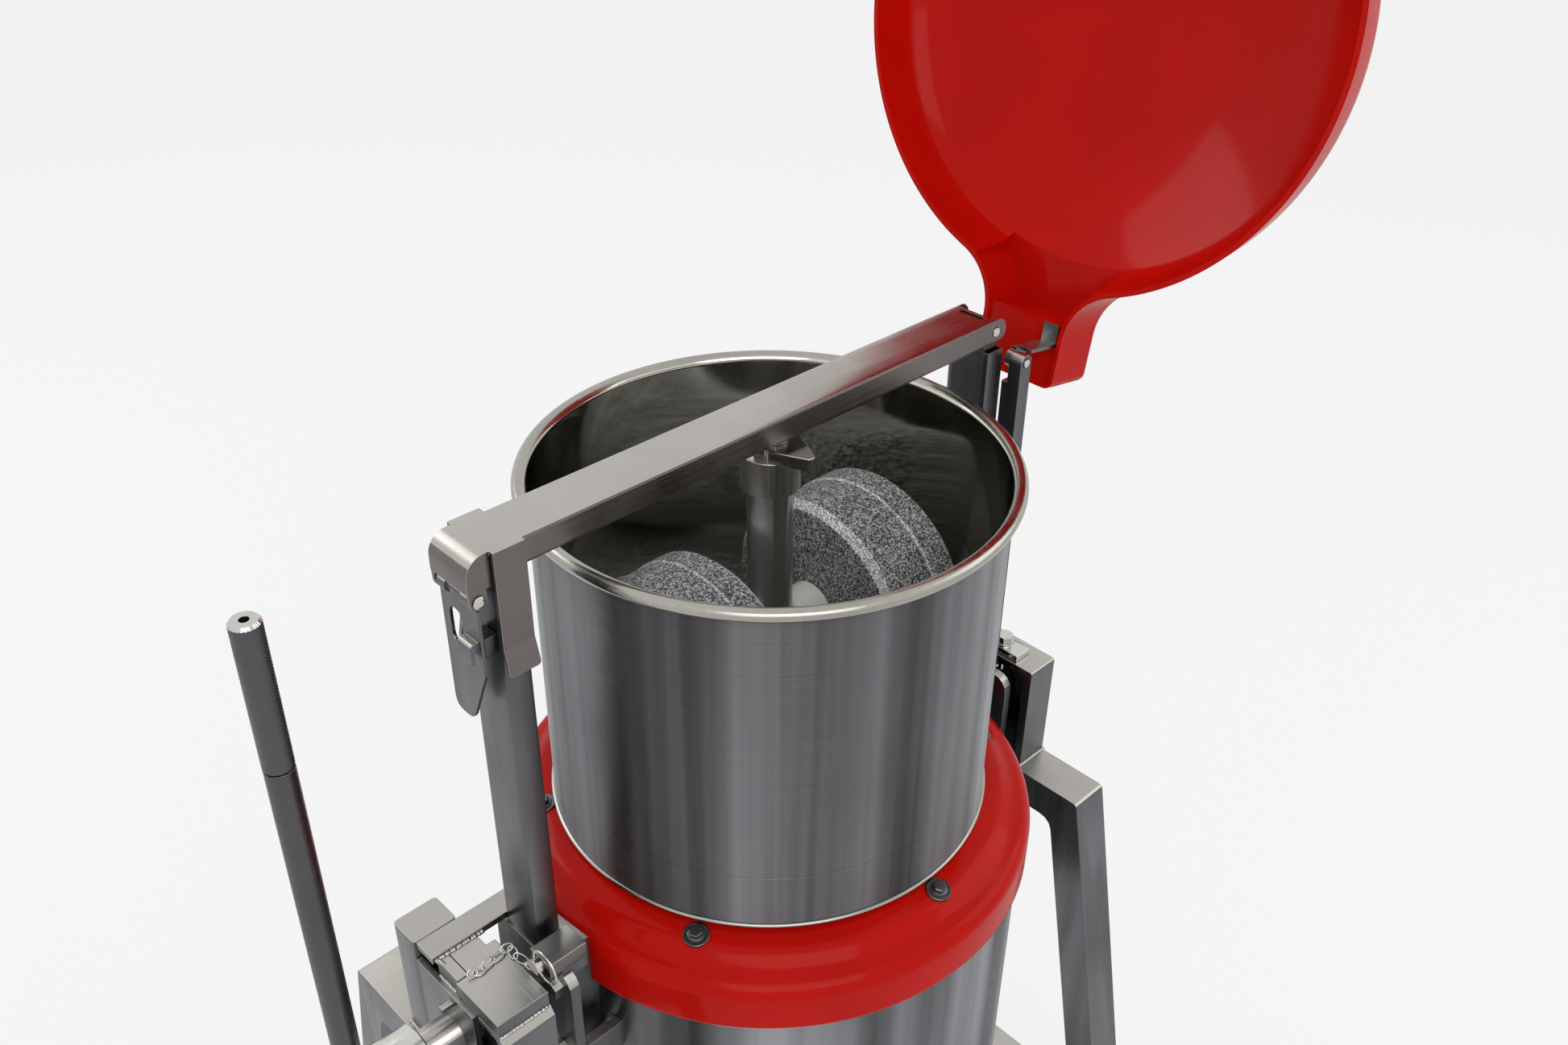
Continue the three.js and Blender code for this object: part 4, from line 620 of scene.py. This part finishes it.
# The shell takes the drum's steel, with its painted reflection bands.
as_piece(
    "shell_drum", spun(shell_profile, WIDE), "tilt_unit", steel_drum_painted_bands, ("body_shell",),
    sharp=math.radians(50),
)
HEM_SINK, HEM_PROUD = 0.2, 0.9
hem = [
    (SHELL_R - HEM_SINK, -347), (SHELL_R + HEM_PROUD, -347.6), (SHELL_R + HEM_PROUD, -350),
    (SHELL_R - HEM_SINK, -350.6),
]
as_piece("shell_hem", spun(hem, WIDE), "tilt_unit", steel_bright)
print("shell and hem made")

# %% [markdown]
# ## Lid
# The lid is one moulding: a shallow dome with a steep skirt, and a tail that runs out to the hinge
# with wide fillets. It is built shut, as an outer solid less an inner one, because that gives an even
# wall. Exact booleans join the parts, and then the whole is turned about its hinge to stand open.
# Three tools come first: one rounds a corner, one raises a plan, and one joins two solids.

# %% Tools for the lid
def softened(points, reach, corners, steps):
    """Rounds the named corners of a profile with a short curve."""
    out = []
    for i, point in enumerate(points):
        if i not in corners:
            out.append(point)
            continue
        here = Vector(point)
        start = here + (Vector(points[i - 1]) - here).normalized() * reach
        end = here + (Vector(points[i + 1]) - here).normalized() * reach
        for k in range(steps + 1):
            t = k / steps
            out.append(tuple(start * (1 - t) ** 2 + here * 2 * t * (1 - t) + end * t * t))
    return out


def slab(outline, low, high):
    """Raises a flat outline in millimetres, given about the lid's centre, between two heights."""
    bm = bmesh.new()
    face = bm.faces.new([bm.verts.new((x * MM, y * MM, low * MM)) for x, y in outline])
    raised = bmesh.ops.extrude_face_region(bm, geom=[face])["geom"]
    moved = [v for v in raised if isinstance(v, bmesh.types.BMVert)]
    bmesh.ops.translate(bm, verts=moved, vec=(0, 0, (high - low) * MM))
    bmesh.ops.recalc_face_normals(bm, faces=bm.faces)
    return bm


def joined(first, second, operation):
    """Joins two solids with an exact boolean and gives the result back as a bmesh."""
    holders = []
    for bm in (first, second):
        mesh = bpy.data.meshes.new("part")
        bmesh.ops.recalc_face_normals(bm, faces=bm.faces)
        bm.to_mesh(mesh)
        bm.free()
        holders.append(bpy.data.objects.new("part", mesh))
        bpy.context.scene.collection.objects.link(holders[-1])
    cut = holders[0].modifiers.new("join", "BOOLEAN")
    cut.operation, cut.solver, cut.object = operation, "EXACT", holders[1]
    result = bmesh.new()
    result.from_object(holders[0], bpy.context.evaluated_depsgraph_get())
    for holder in holders:
        bpy.data.meshes.remove(holder.data)
    return result


print("lid tools ready")

# %% [markdown]
# The crown is part of a large sphere, found from its width and its rise, and it meets the skirt in a
# soft crease. The tail's plan starts on the skirt's circle, runs round a wide fillet on each side and
# ends in small round corners.

# %% Forms of the lid
LID_RADIUS, LID_CREASE, LID_SKIRT, LID_HEIGHT, LID_WALL = 213.6, 206, 39.7, 105, 4
CROWN_STEPS, CREASE_REACH, CREASE_STEPS, LID_TURN_STEPS = 24, 13, 8, 200
TAIL_HALF, TAIL_LENGTH, TAIL_HEIGHT, TAIL_FILLET, TAIL_CORNER = 40, 290, 46, 50, 8
FILLET_STEPS, CORNER_STEPS = 14, 6


def dome(radius, crease, skirt, height, foot):
    rise = height - skirt
    sphere = (crease * crease + rise * rise) / (2 * rise)
    half = math.degrees(math.asin(crease / sphere))
    crown = arc(0, height - sphere, sphere, 90 - half, 90, CROWN_STEPS)[:-1]
    outline = [(0, foot), (radius, foot), (crease, skirt), *crown[2:], (0, height)]
    bm = spun(softened(outline, CREASE_REACH, {2}, CREASE_STEPS), LID_TURN_STEPS)
    bmesh.ops.translate(bm, verts=bm.verts, vec=-RIM)
    return bm


def tail_plan(half, length, circle, fillet, corner, skip=0):
    centre_y = half + fillet
    reach = math.sqrt((circle + fillet) ** 2 - centre_y ** 2)
    touch = math.degrees(math.atan2(centre_y, reach))
    side = arc(reach, centre_y, fillet, 180 + touch, 270, FILLET_STEPS)
    end = arc(length - corner, half - corner, corner, 90, 0, CORNER_STEPS)
    upper = [(0, 0), *side[skip:], *end]
    return upper + [(x, -y) for x, y in reversed(upper[1:])]


print("tail plan points:", len(tail_plan(TAIL_HALF, TAIL_LENGTH, LID_RADIUS, TAIL_FILLET, TAIL_CORNER)))

# %% [markdown]
# The inner solid is the outer one made smaller by the wall. Its tail leaves out the first points of the
# fillet, because two walls that lie in one plane would leave a sliver of a hole. A ledge closes the
# tail's underside, where the hinge strap is fixed.

# %% Lid
LEDGE_NEAR, LEDGE_DROP, FILLET_SKIP = 236, 3, 3
HINGE, LID_CENTRE, LID_OPEN = (243, 0, 8.5), Vector((-260.2, 0, 39.8)), math.radians(99.6)
outer = joined(
    dome(LID_RADIUS, LID_CREASE, LID_SKIRT, LID_HEIGHT, 0),
    slab(tail_plan(TAIL_HALF, TAIL_LENGTH, LID_RADIUS, TAIL_FILLET, TAIL_CORNER), 0, TAIL_HEIGHT), "UNION",
)
inner_plan = tail_plan(
    TAIL_HALF - LID_WALL, TAIL_LENGTH - LID_WALL, LID_RADIUS - LID_WALL, TAIL_FILLET + LID_WALL,
    TAIL_CORNER - LID_WALL, FILLET_SKIP,
)
inner = joined(
    dome(LID_RADIUS - LID_WALL, LID_CREASE - LID_WALL, LID_SKIRT - LID_WALL / 2, LID_HEIGHT - LID_WALL, -1),
    slab(inner_plan, -1, TAIL_HEIGHT - LID_WALL), "UNION",
)
ledge_half, ledge_end = TAIL_HALF - LID_WALL / 2, TAIL_LENGTH - LID_WALL / 2
ledge_plan = [(LEDGE_NEAR, -ledge_half), (ledge_end, -ledge_half), (ledge_end, ledge_half), (LEDGE_NEAR, ledge_half)]
shell = joined(outer, inner, "DIFFERENCE")
moulding = joined(shell, slab(ledge_plan, LEDGE_DROP, TAIL_HEIGHT - LID_WALL / 2), "UNION")
bmesh.ops.remove_doubles(moulding, verts=moulding.verts, dist=0.01 * MM)
bmesh.ops.translate(moulding, verts=moulding.verts, vec=LID_CENTRE * MM)
bmesh.ops.rotate(moulding, verts=moulding.verts, matrix=Matrix.Rotation(LID_OPEN, 3, "Y"))
bmesh.ops.translate(moulding, verts=moulding.verts, vec=at(*HINGE))
as_piece("lid_moulding", moulding, "lid", red, ("lid",), sharp=math.radians(40))
print("lid made")

# %% [markdown]
# ## Handle
# The tilt shaft ends in a bright turned hub that holds the darker rod. Both keep their solids' shape,
# with rounder edges on the hub.

# %% Handle hub and rod
dressed("handle_hub", steel_bright, 1.4, 3)
dressed("handle_rod", steel_dark, 0.5, 3)
print("hub and rod made")

# %% [markdown]
# The rod's grip is knurled: two families of grooves cross and leave small diamonds. A fine spun tube
# has its points pushed in along both families, so the diamonds are real relief and catch the light.
# The socket below takes the rod, the top has a centre hole, and its chamfer is bright.

# %% Knurled grip
GRIP_X, GRIP_R, GRIP_LOW, GRIP_TOP = -386.5, 9.4, -47, 57
TEETH, PITCH_UP, GROOVE, STEPS_UP = 24, 2.4, 0.45, 240
LOW_EDGE, TOP_EDGE, SOCKET_R, SOCKET_DEEP, HOLE_R, HOLE_DEEP = 1.2, 2, 6.3, 8, 3, 6
KNURLED_LONG = GRIP_TOP - GRIP_LOW - (LOW_EDGE + TOP_EDGE)
barrel = [(GRIP_R, GRIP_LOW + LOW_EDGE + KNURLED_LONG * i / STEPS_UP) for i in range(STEPS_UP + 1)]
grip_profile = [
    (0, GRIP_LOW + SOCKET_DEEP), (SOCKET_R, GRIP_LOW + SOCKET_DEEP), (SOCKET_R, GRIP_LOW), (GRIP_R - 1, GRIP_LOW),
    *barrel, (GRIP_R - 1.6, GRIP_TOP), (HOLE_R, GRIP_TOP), (HOLE_R, GRIP_TOP - HOLE_DEEP),
    (0, GRIP_TOP - HOLE_DEEP - 2),
]
bm = spun(grip_profile, MIDDLING, Z, (GRIP_X, 0, 0))
for vert in bm.verts:
    place = (vert.co - at(GRIP_X, 0, 0)) / MM
    if math.hypot(place.x, place.y) > GRIP_R - 0.05:
        turn = math.atan2(place.y, place.x) * TEETH / (2 * math.pi)
        rise = place.z / PITCH_UP
        depth = sum(abs(((turn + sign * rise) % 1) * 2 - 1) for sign in (1, -1)) / 2
        vert.co -= Vector((place.x, place.y, 0)).normalized() * depth * GROOVE * MM
BRIGHT_END = 1
for face in bm.faces:
    if face.calc_center_median().z > at(0, 0, GRIP_TOP - TOP_EDGE - 0.1).z:
        face.material_index = BRIGHT_END
as_piece(
    "knurled_grip", bm, BODY_OF["handle_grip"], (steel_knurl, steel_bright), ("handle_grip",),
)
print("grooves each way:", TEETH)

# %% [markdown]
# The pins that hold the arm, the lid, the latch and the tilt lock are bright round bar with their ends
# broken.

# %% Pins
PIN_EDGE = {"arm_pivot_pin": 0.6, "lid_hinge_pin": 0.6, "latch_pin": 0.4, "lock_pin": 0.7}
for node, edge in PIN_EDGE.items():
    dressed(node, steel_bright, edge)
print("pins made:", len(PIN_EDGE))

# %% [markdown]
# ## Screws and bolts
# Hexagon bolts are spun in six steps, which turns their round profile into a hexagon with a chamfered
# top. Six of them hold the base cover, on flanged washers, tilted with the cover's slope.

# %% Cover screws
WASHER_R, WASHER_TOP, FLANGE_R, HEAD_R, HEAD_HIGH = 10, 1.4, 6.5, 5.2, 4.2


def add_bolt(bm, place, axis):
    head_top = WASHER_TOP + HEAD_HIGH
    washer = [(0, -0.6), (WASHER_R, -0.6), (WASHER_R, 0.9), (WASHER_R - 0.6, WASHER_TOP), (0, WASHER_TOP)]
    flange = [(0, 1.2), (FLANGE_R, 1.2), (FLANGE_R, 1.9), (HEAD_R, 2.5), (0, 2.5)]
    hexagon = [(0, WASHER_TOP), (HEAD_R, WASHER_TOP), (HEAD_R, head_top - 0.6), (HEAD_R - 0.9, head_top), (0, head_top)]
    for profile, steps in ((washer, 40), (flange, 32), (hexagon, 6)):
        spun(profile, steps, axis, place, bm)


SCREW_R, SCREW_Z, SLOPE = 182.8, -290.3, math.radians(12)
SCREW_DEGREES = (-90, -150, 150, 90, 30, -30)
screws = bmesh.new()
for degrees in SCREW_DEGREES:
    turn = math.radians(degrees)
    out = Vector((math.cos(turn), math.sin(turn), 0))
    add_bolt(screws, tuple(out * SCREW_R + Vector((0, 0, SCREW_Z))), out * math.sin(SLOPE) + Z * math.cos(SLOPE))
as_piece("cover_screws", screws, "tilt_unit", steel_dark)
print("cover screws:", len(SCREW_DEGREES))

# %% [markdown]
# ## Chain and ring
# Wire could be swept by hand, but a curve with a round bevel does the same in a few lines. Each loop of
# wire is one closed oval of points.

# %% A wire helper
WIRE_ROUNDNESS = 3


def wire(name, loops, radius, body, material, replaces):
    curve = bpy.data.curves.new(name, "CURVE")
    curve.dimensions, curve.bevel_depth, curve.bevel_resolution = "3D", radius * MM, WIRE_ROUNDNESS
    for loop in loops:
        spline = curve.splines.new("POLY")
        spline.points.add(len(loop) - 1)
        for point, place in zip(spline.points, loop):
            point.co = (*at(*place), 1)
        spline.use_cyclic_u, spline.use_smooth = True, True
    curve.materials.append(material)
    piece = bpy.data.objects.new(name, curve)
    bpy.context.scene.collection.objects.link(piece)
    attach(piece, body)
    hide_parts(*replaces)


def oval(centre, along, across, half_long, half_wide, points):
    turns = [2 * math.pi * i / points for i in range(points)]
    return [tuple(Vector(centre) + along * half_long * math.cos(a) + across * half_wide * math.sin(a)) for a in turns]


print("wire helper ready")

# %% [markdown]
# A small chain keeps the pull pin with the machine. Its route lies along the top of the lock block, and
# each stretch of it is one link. Every second link leans up on its edge, as in a real chain.

# %% Chain
LINK_WIRE, LINK_HALF_WIDE, LINK_REACH, LINK_SINK, LINK_POINTS = 0.65, 2.9, 1.5, 1.0, 20
LEAN_UP, LEAN_FLAT, ROUTE_Z = 52, 10, -292.2
route = [
    (-295.6, -9.5), (-291.1, -9.9), (-285.1, -10.8), (-275.8, -8.9), (-266.3, -7.1), (-260.1, -8.0),
    (-262.6, -17.5), (-259.8, -28.0), (-257.6, -36),
]
links = []
for i, (first, second) in enumerate(zip(route, route[1:])):
    a, b = Vector((*first, ROUTE_Z)), Vector((*second, ROUTE_Z))
    along = (b - a).normalized()
    lean = math.radians(LEAN_FLAT if i % 2 else LEAN_UP)
    across = Z.cross(along) * math.cos(lean) + Z * math.sin(lean)
    lift = Z * (LINK_HALF_WIDE * math.sin(lean) - LINK_SINK)
    half_long = (b - a).length / 2 + LINK_REACH
    links.append(oval((a + b) / 2 + lift, along, across, half_long, LINK_HALF_WIDE, LINK_POINTS))
wire("chain_links", links, LINK_WIRE, "stand", steel_bright, ("pin_chain",))
print("chain links:", len(links))

# %% [markdown]
# The chain ends in a key ring that hangs on the pin's head, and so it slides with the pin.

# %% Key ring
RING, RING_R, RING_WIRE, RING_POINTS = (-259, -48.9, -279.4), 12.8, 1.05, 64
wire(
    "ring_wire", [oval(RING, Y, Z, RING_R, RING_R, RING_POINTS)], RING_WIRE, "lock_pin",
    steel_bright, ("key_ring",),
)
print("ring across", 2 * (RING_R + RING_WIRE), "mm")

# %% [markdown]
# ## Welds
# A weld bead is a row of overlapping round puddles. Each is a squashed ball of its own slightly random
# size, and the random draws come from one seed, so the bead is the same every time. A ball is made in a
# small mesh of its own and then added, because an operator gets slow on a mesh that keeps growing.

# %% A weld helper
draw = random.Random(7)
puddle = bpy.data.meshes.new("puddle")
WANDER, PUDDLE_STEP, FLATNESS, SMALLEST, LARGEST = 0.15, 0.45, 0.8, 0.85, 1.15


def add_weld(bm, start, end, width):
    a, b = Vector(start), Vector(end)
    count = max(2, round((b - a).length / (width * PUDDLE_STEP)))
    for i in range(count + 1):
        centre = a.lerp(b, i / count) + Vector([draw.uniform(-WANDER, WANDER) for _ in range(3)])
        size = width * draw.uniform(SMALLEST, LARGEST)
        shape = Matrix.Diagonal((size * MM, size * MM, size * FLATNESS * MM, 1))
        ball = bmesh.new()
        bmesh.ops.create_uvsphere(
            ball, u_segments=10, v_segments=6, radius=1, matrix=Matrix.Translation(at(*centre)) @ shape,
        )
        ball.to_mesh(puddle)
        ball.free()
        bm.from_mesh(puddle)


print("weld helper ready")

# %% [markdown]
# The stand's beads lie along the lock block and its bar, round the feet of the rear post and the right
# bracket, and where the cross rails meet the side frames.

# %% Weld beads on the stand
ALL_SMOOTH = math.radians(180)
STAND_BEAD_WIDTH, TOP_JOINT_Z, LOW_JOINT_Z = 2.0, -400, -810
STAND_SEAMS = (
    ((-304, 19.8, -293.9), (-266, 19.8, -293.9)), ((-303, -56.6, -307.4), (-266, -56.6, -307.4)),
    ((-309, 40.6, TOP_JOINT_Z), (-273, 40.6, TOP_JOINT_Z)), ((-273, 41, TOP_JOINT_Z), (-273, 69, TOP_JOINT_Z)),
    ((-309, 41, TOP_JOINT_Z), (-309, 69, TOP_JOINT_Z)), ((256, -72, TOP_JOINT_Z), (290, -72, TOP_JOINT_Z)),
    ((290, -72, TOP_JOINT_Z), (290, 72, TOP_JOINT_Z)), ((256, 72, TOP_JOINT_Z), (290, 72, TOP_JOINT_Z)),
    ((-273.7, -165, LOW_JOINT_Z), (-273.7, -135, LOW_JOINT_Z)),
    ((249.9, -165, LOW_JOINT_Z), (249.9, -135, LOW_JOINT_Z)),
    ((-273.7, 135, LOW_JOINT_Z), (-273.7, 165, LOW_JOINT_Z)),
    ((249.9, 135, LOW_JOINT_Z), (249.9, 165, LOW_JOINT_Z)),
    ((-302, 14, -294.2), (-303.4, 19, -294.2)), ((-304, -2, -307), (-304, 16, -307)),
)
stand_beads = bmesh.new()
for start, end in STAND_SEAMS:
    add_weld(stand_beads, start, end, STAND_BEAD_WIDTH)
as_piece("stand_weld_beads", stand_beads, "stand", steel_weld, sharp=ALL_SMOOTH)
print("beads on the stand:", len(STAND_SEAMS))

# %% [markdown]
# Three more beads lie at the feet of the pillars. They ride on the tilting body.

# %% Weld beads on the tilting body
TILT_BEAD_WIDTH, PILLAR_FOOT_Z = 1.8, -297.6
TILT_SEAMS = (
    ((-245, -20, PILLAR_FOOT_Z), (-225, -20, PILLAR_FOOT_Z)), ((236.2, -20, PILLAR_FOOT_Z), (218, -20, PILLAR_FOOT_Z)),
    ((236, -38, PILLAR_FOOT_Z), (250, -38, PILLAR_FOOT_Z)),
)
tilt_beads = bmesh.new()
for start, end in TILT_SEAMS:
    add_weld(tilt_beads, start, end, TILT_BEAD_WIDTH)
as_piece("tilt_weld_beads", tilt_beads, "tilt_unit", steel_weld, sharp=ALL_SMOOTH)
bpy.data.meshes.remove(puddle)
print("beads on the tilting body:", len(TILT_SEAMS))

# %% [markdown]
# ## Stage
# A wide pale floor. The camera, metal and glass all see it nearly white, through the light path, and
# it keeps the stand's soft shadow.

# %% Floor
FLOOR_HALF, FLOOR_GLOW = 200, 0.8


def straight_ray(tree):
    """Gives 1 for a ray from the camera, off metal or through glass, and otherwise 0."""
    path = add_node(tree, "LightPath").outputs
    share = add_node(tree, "Math", {0: path["Is Camera Ray"], 1: path["Is Glossy Ray"]}, operation="MAXIMUM").outputs[0]
    return add_node(tree, "Math", {0: share, 1: path["Is Transmission Ray"]}, operation="MAXIMUM").outputs[0]


sheet = bmesh.new()
bmesh.ops.create_grid(sheet, x_segments=1, y_segments=1, size=FLOOR_HALF)
mesh = bpy.data.meshes.new("floor")
sheet.to_mesh(mesh)
sheet.free()
floor = bpy.data.objects.new("floor", mesh)
bpy.context.scene.collection.objects.link(floor)
material, tree, shader = new_material("pale_floor", roughness=0.9)
shader.inputs["Base Color"].default_value = (0.8, 0.8, 0.8, 1)
share = add_node(tree, "Math", {0: straight_ray(tree), 1: FLOOR_GLOW}, operation="MULTIPLY").outputs[0]
glow = add_node(tree, "Emission", {"Color": (1, 1, 1, 1), "Strength": 1.0}).outputs[0]
mixed = add_node(tree, "MixShader", {0: share, 1: shader.outputs[0], 2: glow}).outputs[0]
tree.links.new(mixed, tree.nodes["Material Output"].inputs["Surface"])
floor.data.materials.append(material)
print("floor made, half width", FLOOR_HALF, "m")

# %% [markdown]
# Three large soft lamps stand for a photographer's panels. They stay low enough that the red stays red
# and the pale steel keeps its tone.

# %% Lamps
def lamp(name, place, aim, size, power):
    light = bpy.data.lights.new(name, "AREA")
    light.shape = "RECTANGLE"
    light.size, light.size_y = size
    light.energy = power
    holder = bpy.data.objects.new(name, light)
    bpy.context.scene.collection.objects.link(holder)
    holder.location = place
    holder.rotation_mode = "QUATERNION"
    holder.rotation_quaternion = (Vector(aim) - Vector(place)).to_track_quat("-Z", "Y")


lamp("key", (-1.6, -2.4, 3.0), (0, 0, 0.8), (3.0, 2.4), 45)
lamp("fill", (2.4, -1.6, 2.2), (0, 0, 0.8), (2.0, 2.0), 15)
lamp("back", (-0.8, 3.0, 2.6), (0, 0, 0.9), (1.8, 1.4), 22)
print("lamps:", len(bpy.data.lights))

# %% [markdown]
# The world fills in between the lamps at a plain level. The camera, metal and glass see it at full
# strength, which is white. The Standard view shows a colour as it is written.

# %% World
WORLD_FILL, WORLD_SEEN = 0.45, 1.0
world = bpy.data.worlds.new("studio")
bpy.context.scene.world = world
world.use_nodes = True
tree = world.node_tree
backdrop = tree.nodes["Background"]
backdrop.inputs["Color"].default_value = (1, 1, 1, 1)
level = add_node(tree, "MapRange", {"Value": straight_ray(tree), "To Min": WORLD_FILL, "To Max": WORLD_SEEN})
tree.links.new(level.outputs["Result"], backdrop.inputs["Strength"])
bpy.context.scene.view_settings.view_transform = "Standard"
print("world fill", WORLD_FILL)
